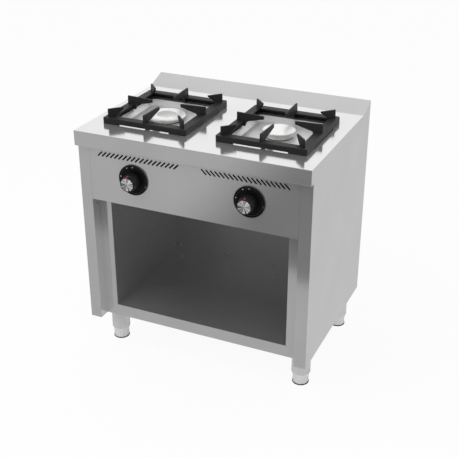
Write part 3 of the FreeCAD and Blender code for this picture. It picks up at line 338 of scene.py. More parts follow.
def sunburst_metal(name, colour, centre):
    """End disc turned with a lathe: painted highlights and painted shade in rays about an axis along Y, over
    fine rings.
    """
    material, tree, shader = new_finish(name)
    vector = place_pattern(tree, (1.0, 0.0, 1.0), centre)
    split = tree.nodes.new("ShaderNodeSeparateXYZ")
    tree.links.new(vector, split.inputs[0])
    angle = tree.nodes.new("ShaderNodeMath")
    angle.operation = "ARCTAN2"
    tree.links.new(split.outputs["Z"], angle.inputs[0])
    tree.links.new(split.outputs["X"], angle.inputs[1])
    around = tree.nodes.new("ShaderNodeCombineXYZ")
    for socket, operation in (("X", "SINE"), ("Y", "COSINE")):
        turn = tree.nodes.new("ShaderNodeMath")
        turn.operation = operation
        tree.links.new(angle.outputs[0], turn.inputs[0])
        tree.links.new(turn.outputs[0], around.inputs[socket])
    # Painted highlight and shade: the bright and dark rays of a spun disc's reflection are put into its
    # colour.
    painted_rays = noise(tree, around.outputs[0], scale=2.6, detail=2.0, roughness=0.6)
    tree.links.new(tint(tree, painted_rays, shaded(colour, 0.08), shaded(colour, 1.1), 0.40, 0.62),
                   shader.inputs["Base Color"])
    rings = rings_about(tree, vector, 2600.0, 1.0)
    tree.links.new(spread(tree, rings, 0.30, 0.46), shader.inputs["Roughness"])
    shader.inputs["Metallic"].default_value = 0.55
    relief(tree, shader, rings, 0.00001, 0.5)
    return material


def moulded_plastic(name, colour, roughness, grain=2200.0, depth=0.00001, specular=0.5):
    """Moulded plastic with a fine spark-eroded grain and faint handling marks."""
    material, tree, shader = new_finish(name)
    shader.inputs["Specular IOR Level"].default_value = specular
    fine = noise(tree, place_pattern(tree, (grain, grain, grain)), detail=1.0)
    marks = noise(tree, place_pattern(tree, (45.0, 45.0, 45.0)), detail=4.0)
    tree.links.new(tint(tree, marks, shaded(colour, 0.9), shaded(colour, 1.12)), shader.inputs["Base Color"])
    tree.links.new(spread(tree, marks, roughness * 0.85, roughness * 1.15), shader.inputs["Roughness"])
    relief(tree, shader, fine, depth, 0.4)
    return material


# ---------------------------------------------------------------- shared making steps


def linked(name, data):
    """A new object in the scene."""
    holder = bpy.data.objects.new(name, data)
    bpy.context.scene.collection.objects.link(holder)
    return holder


def written(shape, name):
    """A new mesh with a bmesh's contents; the bmesh is freed."""
    mesh = bpy.data.meshes.new(name)
    shape.to_mesh(mesh)
    shape.free()
    return mesh


def evaluated(holder):
    """The mesh that an object's modifiers make; the object is removed."""
    bpy.context.view_layer.update()
    graph = bpy.context.evaluated_depsgraph_get()
    mesh = bpy.data.meshes.new_from_object(holder.evaluated_get(graph))
    bpy.data.objects.remove(holder)
    return mesh


def wear(piece, material):
    """Gives a piece or a CAD node its only material."""
    piece.data.materials.clear()
    piece.data.materials.append(material)


def dress(node_name, material):
    """Puts a finish on a CAD node that stays as it is."""
    wear(frame["nodes"][node_name], material)


def body_of_node(name):
    """The moving body that a CAD node belongs to."""
    for body, members in frame["record"]["behaviour"]["bodies"].items():
        if name in members:
            return body
    raise RuntimeError("no body holds " + name)


def new_piece(name, mesh, material, body):
    """Links a finished mesh as a piece that rides on a body."""
    piece = linked(name, mesh)
    wear(piece, material)
    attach(piece, body)
    return piece


def smooth_by_angle(mesh, degrees):
    """Smooth faces, with the edges that turn more than an angle kept sharp."""
    shape = bmesh.new()
    shape.from_mesh(mesh)
    limit = math.radians(degrees)
    for edge in shape.edges:
        edge.smooth = edge.is_manifold and edge.calc_face_angle(math.pi) < limit
    for face in shape.faces:
        face.smooth = True
    shape.to_mesh(mesh)
    shape.free()


def soft_edged(node_name, material, width, segments=2, sharp=28.0, chosen=None):
    """A copy of a CAD node, its triangles joined up and its edges rounded, that stands for the node.

    Where a test is given, only the edges that it chooses are rounded."""
    name = node_name + "_finished"
    shape = bmesh.new()
    shape.from_mesh(frame["nodes"][node_name].data)
    bmesh.ops.remove_doubles(shape, verts=shape.verts, dist=0.000004)
    bmesh.ops.dissolve_limit(shape, angle_limit=math.radians(0.6), verts=shape.verts, edges=shape.edges)
    if chosen:
        weight = shape.edges.layers.float.new("bevel_weight_edge")
        for edge in shape.edges:
            if edge.is_manifold and edge.calc_face_angle_signed(0.0) > math.radians(sharp):
                edge[weight] = 1.0 if chosen(edge) else 0.0
    holder = linked(node_name + "_holder", written(shape, name))
    bevel = holder.modifiers.new("edges", "BEVEL")
    bevel.width = width
    bevel.segments = segments
    bevel.limit_method = "WEIGHT" if chosen else "ANGLE"
    bevel.angle_limit = math.radians(sharp)
    bevel.use_clamp_overlap = True
    bevel.harden_normals = True
    result = evaluated(holder)
    result.name = name
    piece = new_piece(name, result, material, body_of_node(node_name))
    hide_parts(node_name)
    return piece


def turned(profile, centre, steps):
    """Mesh of a (radius, height) outline spun about an axis that runs from a centre to the front."""
    shape = bmesh.new()
    rings = []
    for radius, height in profile:
        ring = []
        for number in range(steps if radius > 0 else 1):
            angle = 2 * math.pi * number / steps
            ring.append(shape.verts.new((radius * math.cos(angle), radius * math.sin(angle), height)))
        rings.append(ring)
    for first, second in zip(rings, rings[1:]):
        for number in range(steps):
            following = (number + 1) % steps
            corners = [first[number % len(first)], first[following % len(first)],
                       second[following % len(second)], second[number % len(second)]]
            unique = list(dict.fromkeys(corners))
            if len(unique) > 2:
                shape.faces.new(unique)
    bmesh.ops.recalc_face_normals(shape, faces=shape.faces)
    shape.transform(Matrix.Rotation(math.radians(90), 4, "X"))
    shape.transform(Matrix.Translation(centre))
    mesh = written(shape, "turned")
    smooth_by_angle(mesh, 35)
    return mesh


def joined(meshes):
    """One mesh out of several."""
    shape = bmesh.new()
    for mesh in meshes:
        shape.from_mesh(mesh)
    return written(shape, "joined")


def two_tone(piece, second, test):
    """Gives the faces whose centre passes a test a second finish."""
    piece.data.materials.append(second)
    for face in piece.data.polygons:
        if test(face.center):
            face.material_index = 1


# ---------------------------------------------------------------- repeating details


class RepeatTree:
    """A geometry node tree with named inputs, ended by Realize Instances and Set Material."""

    def __init__(self, name):
        self.tree = bpy.data.node_groups.new(name, "GeometryNodeTree")
        self.tree.interface.new_socket("Geometry", in_out="OUTPUT", socket_type="NodeSocketGeometry")
        self.inside = self.tree.nodes.new("NodeGroupInput")
        self.outside = self.tree.nodes.new("NodeGroupOutput")
        self.keys = {}

    def number(self, name, kind="NodeSocketFloat"):
        """A named input of the tree."""
        socket = self.tree.interface.new_socket(name, in_out="INPUT", socket_type=kind)
        self.keys[name] = socket.identifier
        return self.inside.outputs[name]

    def scaled(self, value, factor):
        """A number of the tree times a factor."""
        return self.add("ShaderNodeMath", {0: value, 1: factor}, operation="MULTIPLY").outputs[0]

    def add(self, kind, links=None, **settings):
        """A node with its settings, its sockets linked or given a value."""
        node = self.tree.nodes.new(kind)
        for key, value in settings.items():
            setattr(node, key, value)
        for key, value in (links or {}).items():
            socket = node.inputs[key]
            if hasattr(value, "is_output"):
                self.tree.links.new(value, socket)
            else:
                socket.default_value = value
        return node

    def end(self, geometry):
        """Makes the instances real and gives them the material."""
        material = self.number("Material", "NodeSocketMaterial")
        real = self.add("GeometryNodeRealizeInstances", {"Geometry": geometry})
        worn = self.add("GeometryNodeSetMaterial", {"Geometry": real.outputs[0], "Material": material})
        self.tree.links.new(worn.outputs[0], self.outside.inputs[0])

    def make(self, name, values, material, body, slot):
        """Runs the tree once and keeps its result as a plain mesh piece."""
        holder = linked(name + "_holder", bpy.data.meshes.new(name + "_seed"))
        modifier = holder.modifiers.new("repeat", "NODES")
        modifier.node_group = self.tree
        for key, value in values.items():
            modifier[self.keys[key]] = value
        modifier[self.keys["Material"]] = material
        mesh = evaluated(holder)
        if not len(mesh.polygons):
            raise RuntimeError(name + " came out empty")
        smooth_by_angle(mesh, 40)
        return new_piece(name, mesh, material, body)


def row_tree(name, head):
    """A row of heads made by a function of the tree: a start, a step and a count."""
    repeat = RepeatTree(name)
    start = repeat.number("Start", "NodeSocketVector")
    step = repeat.number("Step", "NodeSocketVector")
    count = repeat.number("Count", "NodeSocketInt")
    points = repeat.add("GeometryNodeMeshLine", {"Count": count, "Start Location": start, "Offset": step},
                        mode="OFFSET", count_mode="TOTAL")
    spots = {"Points": points.outputs[0], "Instance": head(repeat)}
    repeat.end(repeat.add("GeometryNodeInstanceOnPoints", spots).outputs[0])
    return repeat


def domed_head(repeat):
    """A flattened ball that faces the front of the range."""
    radius = repeat.number("Radius")
    height = repeat.number("Height")
    ball = repeat.add("GeometryNodeMeshUVSphere", {"Segments": 20, "Rings": 10, "Radius": radius})
    ratio = repeat.add("ShaderNodeMath", {0: height, 1: radius}, operation="DIVIDE")
    scale = repeat.add("ShaderNodeCombineXYZ", {"X": 1.0, "Z": 1.0, "Y": ratio.outputs[0]})
    flat = repeat.add("GeometryNodeTransform", {"Geometry": ball.outputs[0], "Scale": scale.outputs[0]})
    return flat.outputs[0]


def ring_head(repeat):
    """A thin ring about the Y axis, one turn of a thread."""
    radius = repeat.number("Radius")
    depth = repeat.number("Depth")
    circle = repeat.add("GeometryNodeCurvePrimitiveCircle", {"Resolution": 40, "Radius": radius})
    section = repeat.add("GeometryNodeCurvePrimitiveCircle", {"Resolution": 4, "Radius": depth})
    tube = repeat.add("GeometryNodeCurveToMesh", {"Curve": circle.outputs[0],
                                                  "Profile Curve": section.outputs[0]})
    turn = repeat.add("GeometryNodeTransform", {"Geometry": tube.outputs[0],
                                                "Rotation": (math.pi / 2, 0.0, 0.0)})
    return turn.outputs[0]


def bolt_tree(name):
    """Hexagon heads with washers, one over each leg."""
    repeat = RepeatTree(name)
    wide = repeat.number("Leg distance across")
    deep = repeat.number("Leg distance along")
    centre = repeat.number("Centre", "NodeSocketVector")
    radius = repeat.number("Radius")
    height = repeat.number("Height")
    washer = repeat.number("Washer")
    legs = repeat.add("GeometryNodeMeshGrid", {"Size X": wide, "Size Y": deep,
                                               "Vertices X": 2, "Vertices Y": 2})
    head = repeat.add("GeometryNodeMeshCylinder", {"Vertices": 6, "Radius": radius, "Depth": height})
    ring = repeat.add("GeometryNodeMeshCylinder", {"Vertices": 28, "Depth": washer,
                                                   "Radius": repeat.scaled(radius, 1.35)})
    lift = repeat.add("ShaderNodeCombineXYZ", {"Z": repeat.scaled(height, 0.5)})
    raised = repeat.add("GeometryNodeTransform", {"Geometry": head.outputs[0],
                                                  "Translation": lift.outputs[0]})
    both = repeat.add("GeometryNodeJoinGeometry")
    repeat.tree.links.new(raised.outputs[0], both.inputs[0])
    repeat.tree.links.new(ring.outputs[0], both.inputs[0])
    bolts = repeat.add("GeometryNodeInstanceOnPoints", {"Points": legs.outputs[0],
                                                        "Instance": both.outputs[0]})
    placed = repeat.add("GeometryNodeTransform", {"Geometry": bolts.outputs[0], "Translation": centre})
    repeat.end(placed.outputs[0])
    return repeat


# ---------------------------------------------------------------- operators


class GASRANGE_OT_sheets(bpy.types.Operator):
    """Finish the stainless sheets of the worktop and the cabinet, with painted shade inside the cabinet and
    behind the control panel
    """

    bl_idname = "gas_range.sheets"
    bl_label = "Steel sheets"

    def execute(self, context):
        finish = context.scene.gas_range_finish
        detail = context.scene.gas_range_detail
        steel = finish.steel_colour
        inner = finish.cabinet_shade_colour
        gloss = {"metallic": finish.steel_metallic, "roughness": finish.steel_roughness}
        dull = {"metallic": 0.85, "roughness": 0.22}
        lengthwise = brushed_steel("steel_lengthwise", steel, 0, **gloss)
        upright = brushed_steel("steel_upright", steel, 2, **gloss)
        # Painted shade: the back wall, the side walls and the shelf are lit and shaded copies of one cabinet
        # steel, the back wall darkest.
        inside = brushed_steel("steel_back_wall_painted_shade", shaded(inner, 0.80), 2, **dull)
        walls_painted_shade = brushed_steel("steel_walls_painted_shade", shaded(inner, 1.35), 2, **dull)
        shelf_painted_shade = brushed_steel("steel_shelf_painted_shade", shaded(inner, 1.45), 0, **dull)
        # Painted shade: the compartment floor is painted nearly black for the shade inside the closed body.
        unlit = brushed_steel("steel_unlit", shaded(inner, 0.2), 2, metallic=0.7, roughness=0.4)
        basin = brushed_steel("steel_basin", steel, 0, metallic=0.72, roughness=0.40)
        panel = brushed_steel("steel_panel", steel, 0, **gloss)
        # Painted shade: the control panel's colour is darkened behind its front skin, inside the closed body.
        panel_skin = 0.0003
        paint_shade_behind(panel, node_box("control_panel")[0].y + panel_skin, factor=0.06)
        plain = brushed_steel("steel_plain", shaded(steel, 0.8), 2, metallic=0.7, roughness=0.3)
        self.fold_worktop(lengthwise, basin, detail)
        dress("control_panel", panel)
        for node, material in (("left_side_panel", upright), ("right_side_panel", upright),
                               ("back_panel", plain)):
            soft_edged(node, material, detail.sheet_edge)
        dress("inner_back_wall", inside)
        dress("compartment_floor", unlit)
        for node in ("left_base_channel", "right_base_channel",
                     "left_manifold_bracket", "right_manifold_bracket"):
            dress(node, plain)
        self.line_cabinet(upright, walls_painted_shade, detail)
        self.line_shelf(lengthwise, shelf_painted_shade, detail)
        return {"FINISHED"}

    @staticmethod
    def fold_worktop(steel, basin, detail):
        """The outer edges are folded, so they are rounder than the cut ones; the basins are duller."""
        low, high = node_box("worktop")
        skirt_bottom = node_box("control_panel")[1].z + 0.004
        reach = 0.0004

        def outside(edge):
            ends = [vertex.co for vertex in edge.verts]
            front = all(end.y < low.y + reach for end in ends)
            side = all(min(end.x - low.x, high.x - end.x) < reach for end in ends)
            above = all(end.z > skirt_bottom for end in ends)
            return (front or side) and above or side and front

        piece = soft_edged("worktop", steel, detail.fold_radius, segments=3, chosen=outside)
        centres = [node_centre(side + "_pan_support") for side in SIDES]

        def in_basin(centre):
            across = min(max(abs(centre.x - middle.x), abs(centre.y - middle.y)) for middle in centres)
            return centre.z < high.z - 0.001 and across < detail.basin_half

        two_tone(piece, basin, in_basin)

    @staticmethod
    def line_cabinet(outer, inner, detail):
        """The stiles are bright where they face the front; inside the cabinet they are duller and darker,
        with painted shade in their colour.
        """
        for side in SIDES:
            node = side + "_inner_wall"
            piece = soft_edged(node, outer, detail.sheet_edge)
            front = node_box(node)[0].y
            skin = 0.0010
            two_tone(piece, inner, lambda centre, edge=front + skin: centre.y > edge)

    @staticmethod
    def line_shelf(outer, inner, detail):
        """The bottom rail is bright where it faces the front; the shelf is duller and darker, with painted
        shade in its colour.
        """
        piece = soft_edged("bottom_shelf", outer, detail.sheet_edge)
        front = node_box("bottom_shelf")[0].y
        skin = 0.0014
        two_tone(piece, inner, lambda centre: centre.y > front + skin)


class GASRANGE_OT_legs(bpy.types.Operator):
    """Finish the legs, feet and pads"""

    bl_idname = "gas_range.legs"
    bl_label = "Legs and feet"

    def execute(self, context):
        finish = context.scene.gas_range_finish
        tube = brushed_steel("steel_leg", finish.leg_colour, 2, metallic=0.60, roughness=0.2)
        foot = brushed_steel("steel_foot", shaded(finish.leg_colour, 1.12), 2, metallic=0.45, roughness=0.26)
        pad = moulded_plastic("pad_plastic", (0.02, 0.02, 0.02), roughness=0.6)
        for corner in CORNERS:
            soft_edged(corner + "_leg", tube, width=0.0004)
            soft_edged(corner + "_foot", foot, width=0.0008, segments=3, sharp=15)
            soft_edged(corner + "_foot_pad", pad, width=0.0005)
        return {"FINISHED"}


class GASRANGE_OT_pan_supports(bpy.types.Operator):
    """Finish the cast pan supports and narrow the gaps between their feet"""

    bl_idname = "gas_range.pan_supports"
    bl_label = "Pan supports"

    def execute(self, context):
        finish = context.scene.gas_range_finish
        detail = context.scene.gas_range_detail
        iron = cast_metal("iron_enamel", finish.iron_colour, metallic=0.0, roughness=0.55)
        for side in SIDES:
            soft_edged(side + "_pan_support", iron, detail.cast_edge, segments=2, sharp=20)
            self.skirt_strips(side + "_pan_support", iron, detail)
        return {"FINISHED"}

    @staticmethod
    def skirt_strips(node, iron, detail):
        """Strips in the gaps between the feet: rear and left closed, front and right made low."""
        low, high = node_box(node)
        middle = (low + high) / 2
        inset = 0.0004
        overlap = 0.0005
        depth = detail.skirt_thickness - inset
        half = detail.foot_span / 2 + overlap
        top = low.z + detail.foot_gap + overlap * 2
        slit = low.z + detail.front_slit
        strips = (
            ((low.x + inset, middle.y - half, low.z), (low.x + depth, middle.y + half, top)),
            ((middle.x - half, high.y - depth, low.z), (middle.x + half, high.y - inset, top)),
            ((high.x - depth, middle.y - half, slit), (high.x - inset, middle.y + half, top)),
            ((middle.x - half, low.y + inset, slit), (middle.x + half, low.y + depth, top)),
        )
        shape = bmesh.new()
        for first, last in strips:
            size = Vector(last) - Vector(first)
            place = Matrix.Translation((Vector(first) + Vector(last)) / 2) @ Matrix.Diagonal((*size, 1.0))
            bmesh.ops.create_cube(shape, size=1.0, matrix=place)
        name = node + "_strips"
        new_piece(name, written(shape, name), iron, body_of_node(node))


class GASRANGE_OT_burners(bpy.types.Operator):
    """Finish the burners, their heads and caps"""

    bl_idname = "gas_range.burners"
    bl_label = "Burners"

    def execute(self, context):
        finish = context.scene.gas_range_finish
        rough = cast_metal("burner_casting", (0.10, 0.10, 0.10), metallic=0.4, roughness=0.6)
        for side in SIDES:
            centre = tuple(node_centre(side + "_burner_crown"))
            head = turned_metal(side + "_head_metal", finish.burner_colour, centre, 2,
                                metallic=0.62, roughness=0.34)
            dress(side + "_burner", rough)
            soft_edged(side + "_burner_crown", head, width=0.0003, sharp=35)
            soft_edged(side + "_burner_cap", head, width=0.0005, segments=3, sharp=15)
        return {"FINISHED"}


class GASRANGE_OT_knobs(bpy.types.Operator):
    """Finish the knobs and bezels, with their pointer lines and marks"""

    bl_idname = "gas_range.knobs"
    bl_label = "Knobs"

    def execute(self, context):
        finish = context.scene.gas_range_finish
        detail = context.scene.gas_range_detail
        black = moulded_plastic("knob_black", finish.knob_colour, roughness=0.28)
        rim = moulded_plastic("bezel_rim", shaded(finish.bezel_colour, 1.6), roughness=0.38)
        dark = moulded_plastic("bezel_dark", shaded(finish.bezel_colour, 0.15), roughness=0.5, specular=0.2)
        red = moulded_plastic("pointer_red", finish.pointer_colour, roughness=0.4)
        pale = moulded_plastic("mark_pale", (0.42, 0.42, 0.42), roughness=0.45)
        steel = brushed_steel("spindle_steel", (0.6, 0.6, 0.6), 1, metallic=0.9, roughness=0.2)
        rim_radius = 0.0437
        for side in SIDES:
            low, high = node_box(side + "_bezel")
            axis = Vector(((low.x + high.x) / 2, high.y, (low.z + high.z) / 2))
            disc = sunburst_metal(side + "_disc_metal", (0.86, 0.86, 0.87), tuple(axis))
            bezel = soft_edged(side + "_bezel", rim, width=0.0006, segments=3, sharp=20)
            two_tone(bezel, dark, lambda centre, middle=axis: (centre - middle).xz.length < rim_radius)
            soft_edged(side + "_knob", black, width=0.0010, segments=3, sharp=20)
            self.end_disc(side + "_knob_disc", disc, black, detail)
            dress(side + "_spindle", steel)
            dress(side + "_push_rod", steel)
            self.pointer(side, axis, red)
            self.marks(side, axis, pale, detail)
        return {"FINISHED"}

    @staticmethod
    def end_disc(node, metal, black, detail):
        """End disc of a knob: bright metal inside a black rim."""
        low, high = node_box(node)
        middle = (low + high) / 2
        radius = (high.x - low.x) / 2
        depth = high.y - low.y
        edge = 0.0004
        mesh = turned([(0.0, 0.0), (radius, 0.0), (radius, depth - edge), (radius - edge, depth),
                       (detail.disc_radius, depth), (0.0, depth)],
                      (middle.x, high.y, middle.z), steps=64)
        piece = new_piece(node + "_finished", mesh, metal, body_of_node(node))
        two_tone(piece, black, lambda centre: (centre - middle).xz.length > detail.disc_radius
                 or centre.y > low.y + edge)
        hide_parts(node)

    @staticmethod
    def pointer(side, axis, red):
        """Short raised line at the front of the knob's top, carried over the rim."""
        low, high = node_box(side + "_knob")
        rear = axis.y - high.y
        front = axis.y - low.y
        base = (high.z - low.z) / 2
        nose = base - 0.0040
        skirt = rear + 0.0040
        half = 0.0012
        rise = 0.00035
        depth = 0.0008
        reach = 0.0105
        lip = 0.0013
        back = nose + (base - nose) * reach / (front - skirt)
        path = [(front - reach, back), (front - reach * 0.5, (back + nose) / 2), (front, nose),
                (front, nose - lip)]
        shape = bmesh.new()
        rows = []
        for number, (out, radius) in enumerate(path):
            on_rim = number > 1
            lift = 0.0 if number == len(path) - 1 else rise
            ahead = rise if on_rim else 0.0
            inward = depth if on_rim else 0.0
            over = Vector((axis.x, axis.y - out - ahead, axis.z + radius + lift))
            under = Vector((axis.x, axis.y - out + inward, axis.z + radius - depth))
            aside = Vector((half, 0.0, 0.0))
            rows.append([shape.verts.new(corner) for corner in (over - aside, over + aside,
                                                                under + aside, under - aside)])
        for first, second in zip(rows, rows[1:]):
            for number in range(4):
                following = (number + 1) % 4
                shape.faces.new((first[number], first[following], second[following], second[number]))
        shape.faces.new(rows[0])
        shape.faces.new(rows[-1])
        bmesh.ops.recalc_face_normals(shape, faces=shape.faces)
        mesh = written(shape, side + "_pointer_line")
        new_piece(side + "_pointer", mesh, red, side + "_knob_set")

    @staticmethod
    def marks(side, axis, pale, detail):
        """Three pale marks on the bezel: closed, full and low."""
        start = node_box(side + "_bezel")[0].y + 0.0016
        radius = detail.dot_radius
        dome = [(radius, 0.0), (radius, 0.0018), (radius * 0.8, 0.0021), (0.0, 0.0022)]
        dots = []
        for angle in (0.0, 28.0, 80.0):
            turn = math.radians(90.0 + angle)
            place = (axis.x + detail.dot_circle * math.cos(turn), start,
                     axis.z + detail.dot_circle * math.sin(turn))
            dots.append(turned(dome, place, steps=24))
        new_piece(side + "_bezel_marks", joined(dots), pale, "cabinet")


class GASRANGE_OT_gas_parts(bpy.types.Operator):
    """Finish the taps, pipes and injectors behind the panel"""

    bl_idname = "gas_range.gas_parts"
    bl_label = "Gas parts"

    def execute(self, context):
        detail = context.scene.gas_range_detail
        brass = cast_metal("tap_brass", (0.60, 0.44, 0.20), metallic=0.85, roughness=0.32, depth=0.00003)
        pipe = moulded_plastic("pipe_paint", (0.10, 0.10, 0.11), roughness=0.4)
        alloy = brushed_steel("pipe_alloy", (0.75, 0.75, 0.76), 2, metallic=0.85, roughness=0.25)
        dress("gas_manifold", pipe)
        for side in SIDES:
            soft_edged(side + "_gas_tap", brass, width=0.0005)
            dress(side + "_injector", brass)
            dress(side + "_supply_pipe", alloy)
        soft_edged("manifold_plug", brass, width=0.0006)
        soft_edged("gas_inlet", brass, width=0.0005)
        mount = next(m for m in frame["record"]["mounts"] if m["name"] == "gas_connection")
        radius = mount["dims"]["r_mm"] / 1000
        length = mount["dims"]["length_mm"] / 1000
        run_in = 0.0025
        unthreaded = 0.004
        start = Vector(mount["pos_m"]) - Vector((0.0, length / 2 - run_in, 0.0))
        turns = int((length - unthreaded) / detail.thread_pitch)
        row_tree("thread_turns", ring_head).make("gas_inlet_thread", {
            "Start": tuple(start), "Step": (0.0, detail.thread_pitch, 0.0), "Count": turns,
            "Radius": radius - 0.0001, "Depth": 0.0006}, brass, "cabinet", "tap_brass")
        return {"FINISHED"}


class GASRANGE_OT_fasteners(bpy.types.Operator):
    """Make the rivets, the rear skin's screws and the leg bolts"""

    bl_idname = "gas_range.fasteners"
    bl_label = "Rivets, screws and bolts"

    def execute(self, context):
        detail = context.scene.gas_range_detail
        steel = turned_metal("fastener_steel", (0.62, 0.62, 0.63), (0.0, 0.0, 0.0), 2,
                             metallic=0.9, roughness=0.28)
        low, high = node_box("back_wall_rivets")
        wall = node_box("inner_back_wall")[0].y
        head = (high.z - low.z) / 2
        first = Vector((low.x + head, wall, (low.z + high.z) / 2))
        span = high.x - low.x - head * 2
        rivets = row_tree("rivet_row", domed_head)
        count = 4
        piece = rivets.make("back_wall_rivet_heads", {
            "Start": tuple(first), "Step": (span / (count - 1), 0.0, 0.0), "Count": count,
            "Radius": detail.rivet_radius, "Height": detail.rivet_height}, steel, "cabinet", "fastener_steel")
        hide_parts("back_wall_rivets")
        self.rear_screws(detail, rivets, steel)
        self.leg_bolts(steel)
        return {"FINISHED"}

    @staticmethod
    def rear_screws(detail, tree, steel):
        """A row of screws up each edge of the rear skin."""
        low, high = node_box("back_panel")
        skin = frame["nodes"]["back_panel"]
        rear_faces = [face for face in skin.data.polygons if face.normal.y > 0.99]
        face = (skin.matrix_world @ max(rear_faces, key=lambda face: face.area).center).y
        edge = 0.020
        step = (high.z - low.z - edge * 2) / (detail.screw_rows - 1)
        for side, x in (("left", low.x + edge), ("right", high.x - edge)):
            tree.make(side + "_rear_screws", {
                "Start": (x, face, low.z + edge), "Step": (0.0, 0.0, step), "Count": detail.screw_rows,
                "Radius": detail.screw_radius, "Height": 0.0018}, steel, "cabinet", "fastener_steel")

    @staticmethod
    def leg_bolts(steel):
        """One hexagon head with its washer over each leg, in place of the plain ones."""
        head_radius = 0.0104
        head_height = 0.0075
        washer = 0.0014
        left = node_centre("front_left_leg")
        right = node_centre("rear_right_leg")
        washer_middle = node_box("leg_bolts")[1].z - head_height + washer / 2
        piece = bolt_tree("leg_bolt_grid").make("leg_bolt_heads", {
            "Leg distance across": right.x - left.x, "Leg distance along": right.y - left.y,
            "Centre": ((left.x + right.x) / 2, (left.y + right.y) / 2, washer_middle),
            "Radius": head_radius, "Height": head_height - washer / 2, "Washer": washer},
            steel, "cabinet", "fastener_steel")
        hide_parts("leg_bolts")


class GASRANGE_OT_stage(bpy.types.Operator):
    """Set the pale floor, the white room, the soft light and the camera"""

    bl_idname = "gas_range.stage"
    bl_label = "Studio"

    def execute(self, context):
        studio = context.scene.gas_range_studio
        self.floor()
        self.room(context.scene, studio)
        self.soft_box(studio)
        self.camera(context.scene, studio)
        context.scene.view_settings.view_transform = "Standard"
        return {"FINISHED"}

    @staticmethod
    def mixed(tree, factor, first, second):
        """Two shaders mixed by a number or by another node's socket."""
        node = tree.nodes.new("ShaderNodeMixShader")
        if isinstance(factor, float):
            node.inputs["Fac"].default_value = factor
        else:
            tree.links.new(factor, node.inputs["Fac"])
        tree.links.new(first.outputs[0], node.inputs[1])
        tree.links.new(second.outputs[0], node.inputs[2])
        return node

    @staticmethod
    def even(tree, kind, shade):
        """A shader of one grey."""
        node = tree.nodes.new(kind)
        node.inputs["Color"].default_value = (shade, shade, shade, 1.0)
        return node

    @classmethod
    def floor(cls):
        """Pale floor that keeps the range's shadow and shows the metal shades of its own."""
        reach = 14.0
        whiteness = 0.93
        mesh = bpy.data.meshes.new("studio_floor")
        mesh.from_pydata([(-reach, -reach, 0.0), (reach, -reach, 0.0), (reach, reach, 0.0),
                          (-reach, reach, 0.0)], [], [(0, 1, 2, 3)])
        floor = linked("studio_floor", mesh)
        material = bpy.data.materials.new("studio_floor")
        material.use_nodes = True
        tree = material.node_tree
        tree.nodes.clear()
        output = tree.nodes.new("ShaderNodeOutputMaterial")
        paint = cls.even(tree, "ShaderNodeBsdfDiffuse", 0.86)
        bright = cls.even(tree, "ShaderNodeEmission", 1.0)
        mirrored = tree.nodes.new("ShaderNodeEmission")
        path = tree.nodes.new("ShaderNodeLightPath")
        pale = cls.mixed(tree, whiteness, paint, bright)
        seen = cls.mixed(tree, path.outputs["Is Camera Ray"], paint, pale)
        surface = cls.mixed(tree, path.outputs["Is Glossy Ray"], seen, mirrored)
        tree.links.new(surface.outputs[0], output.inputs["Surface"])
        cls.studio_shades(tree, mirrored)
        wear(floor, material)

    @staticmethod
    def studio_shades(tree, mirrored):
        """What the metal sees of the floor: pale, with a dark area some way in front of the range."""
        links = tree.links
        place = parts_of(tree, "Object")
        across = ranged(tree, place["X"], (-0.76, -0.22), (0.0, 1.0), smooth=True)
        ahead = ranged(tree, place["Y"], (-0.96, -1.04), (0.0, 1.0), smooth=True)
        near = ranged(tree, place["Y"], (0.05, -0.35), (0.58, 0.38), smooth=True)
        both = tree.nodes.new("ShaderNodeMath")
        both.operation = "MULTIPLY"
        links.new(across, both.inputs[0])
        links.new(ahead, both.inputs[1])
        pale = tree.nodes.new("ShaderNodeMix")
        pale.data_type = "FLOAT"
        links.new(both.outputs[0], pale.inputs["Factor"])
        links.new(near, pale.inputs["A"])
        pale.inputs["B"].default_value = 0.10
        links.new(pale.outputs["Result"], mirrored.inputs["Color"])

    @classmethod
    def room(cls, scene, studio):
        """White room, with walls of other shades for what the metal mirrors."""
        world = bpy.data.worlds.new("studio_room")
        scene.world = world
        world.use_nodes = True
        tree = world.node_tree
        tree.nodes.clear()
        output = tree.nodes.new("ShaderNodeOutputWorld")
        light = cls.even(tree, "ShaderNodeBackground", 1.0)
        light.inputs["Strength"].default_value = studio.world_strength
        white = cls.even(tree, "ShaderNodeBackground", 1.0)
        path = tree.nodes.new("ShaderNodeLightPath")
        either = tree.nodes.new("ShaderNodeMath")
        either.operation = "MAXIMUM"
        tree.links.new(path.outputs["Is Camera Ray"], either.inputs[0])
        tree.links.new(path.outputs["Is Transmission Ray"], either.inputs[1])
        seen = cls.mixed(tree, either.outputs[0], light, white)
        surface = cls.mixed(tree, path.outputs["Is Glossy Ray"], seen, cls.studio_walls(tree))
        tree.links.new(surface.outputs[0], output.inputs["Surface"])

    @staticmethod
    def studio_walls(tree):
        """What the metal sees of the room: a white wall behind the range, dimmer towards the front."""
        depth = ranged(tree, parts_of(tree, "Generated")["Y"], (-1.0, 1.0), (0.0, 1.0))
        ramp = tree.nodes.new("ShaderNodeValToRGB")
        tree.links.new(depth, ramp.inputs["Fac"])
        shades = ((0.05, 0.24), (0.28, 0.36), (0.68, 0.52), (0.91, 1.0))
        while len(ramp.color_ramp.elements) < len(shades):
            ramp.color_ramp.elements.new(0.5)
        for element, (place, shade) in zip(ramp.color_ramp.elements, shades):
            element.position = place
            element.color = (shade, shade, shade, 1.0)
        walls = tree.nodes.new("ShaderNodeBackground")
        tree.links.new(ramp.outputs["Color"], walls.inputs["Color"])
        return walls

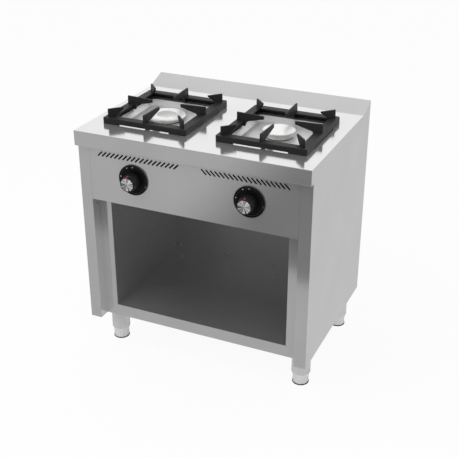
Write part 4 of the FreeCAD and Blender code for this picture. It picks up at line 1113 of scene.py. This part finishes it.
    @staticmethod
    def soft_box(studio):
        """Large lamp overhead, at the left of the camera."""
        lamp = bpy.data.lights.new("overhead_soft_box", "AREA")
        lamp.shape = "RECTANGLE"
        lamp.size = 2.4
        lamp.size_y = 1.8
        lamp.energy = studio.lamp_power
        holder = linked("overhead_soft_box", lamp)
        holder.location = (-0.8, -1.2, 2.6)
        aim = Vector((0.0, 0.0, 0.5)) - holder.location
        holder.rotation_euler = aim.to_track_quat("-Z", "Y").to_euler()
        holder.visible_glossy = False

    @staticmethod
    def camera(scene, studio):
        """Camera at the photograph's angle."""
        camera = bpy.data.cameras.new("photo_camera")
        camera.sensor_fit = "HORIZONTAL"
        camera.sensor_width = 36.0
        camera.lens = studio.camera_lens
        camera.clip_start = 0.05
        camera.clip_end = 60.0
        holder = linked("photo_camera", camera)
        holder.location = studio.camera_place
        holder.rotation_euler = Vector(studio.camera_aim).to_track_quat("-Z", "Y").to_euler()
        scene.camera = holder


class GASRANGE_PT_panel(bpy.types.Panel):
    """Sizes, colours and making steps of the gas range"""

    bl_idname = "GASRANGE_PT_panel"
    bl_label = "Gas range"
    bl_space_type = "VIEW_3D"
    bl_region_type = "UI"
    bl_category = "Gas range"

    def draw(self, context):
        layout = self.layout
        for group in (context.scene.gas_range_finish, context.scene.gas_range_detail,
                      context.scene.gas_range_studio):
            box = layout.box()
            for name in group.bl_rna.properties.keys():
                if name not in ("rna_type", "name"):
                    box.prop(group, name)
        for operator in OPERATORS:
            layout.operator(operator.bl_idname, text=operator.bl_label)


OPERATORS = (
    GASRANGE_OT_sheets,
    GASRANGE_OT_legs,
    GASRANGE_OT_pan_supports,
    GASRANGE_OT_burners,
    GASRANGE_OT_knobs,
    GASRANGE_OT_gas_parts,
    GASRANGE_OT_fasteners,
    GASRANGE_OT_stage,
)
GROUPS = (GasRangeFinish, GasRangeDetail, GasRangeStudio)


def register():
    for cls in GROUPS + OPERATORS + (GASRANGE_PT_panel,):
        bpy.utils.register_class(cls)
    bpy.types.Scene.gas_range_finish = bpy.props.PointerProperty(type=GasRangeFinish)
    bpy.types.Scene.gas_range_detail = bpy.props.PointerProperty(type=GasRangeDetail)
    bpy.types.Scene.gas_range_studio = bpy.props.PointerProperty(type=GasRangeStudio)


def unregister():
    del bpy.types.Scene.gas_range_studio
    del bpy.types.Scene.gas_range_detail
    del bpy.types.Scene.gas_range_finish
    for cls in reversed(GROUPS + OPERATORS + (GASRANGE_PT_panel,)):
        bpy.utils.unregister_class(cls)


def main():
    """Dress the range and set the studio."""
    register()
    for operator in OPERATORS:
        group, name = operator.bl_idname.split(".")
        getattr(getattr(bpy.ops, group), name)()


if __name__ == "__main__":
    main()
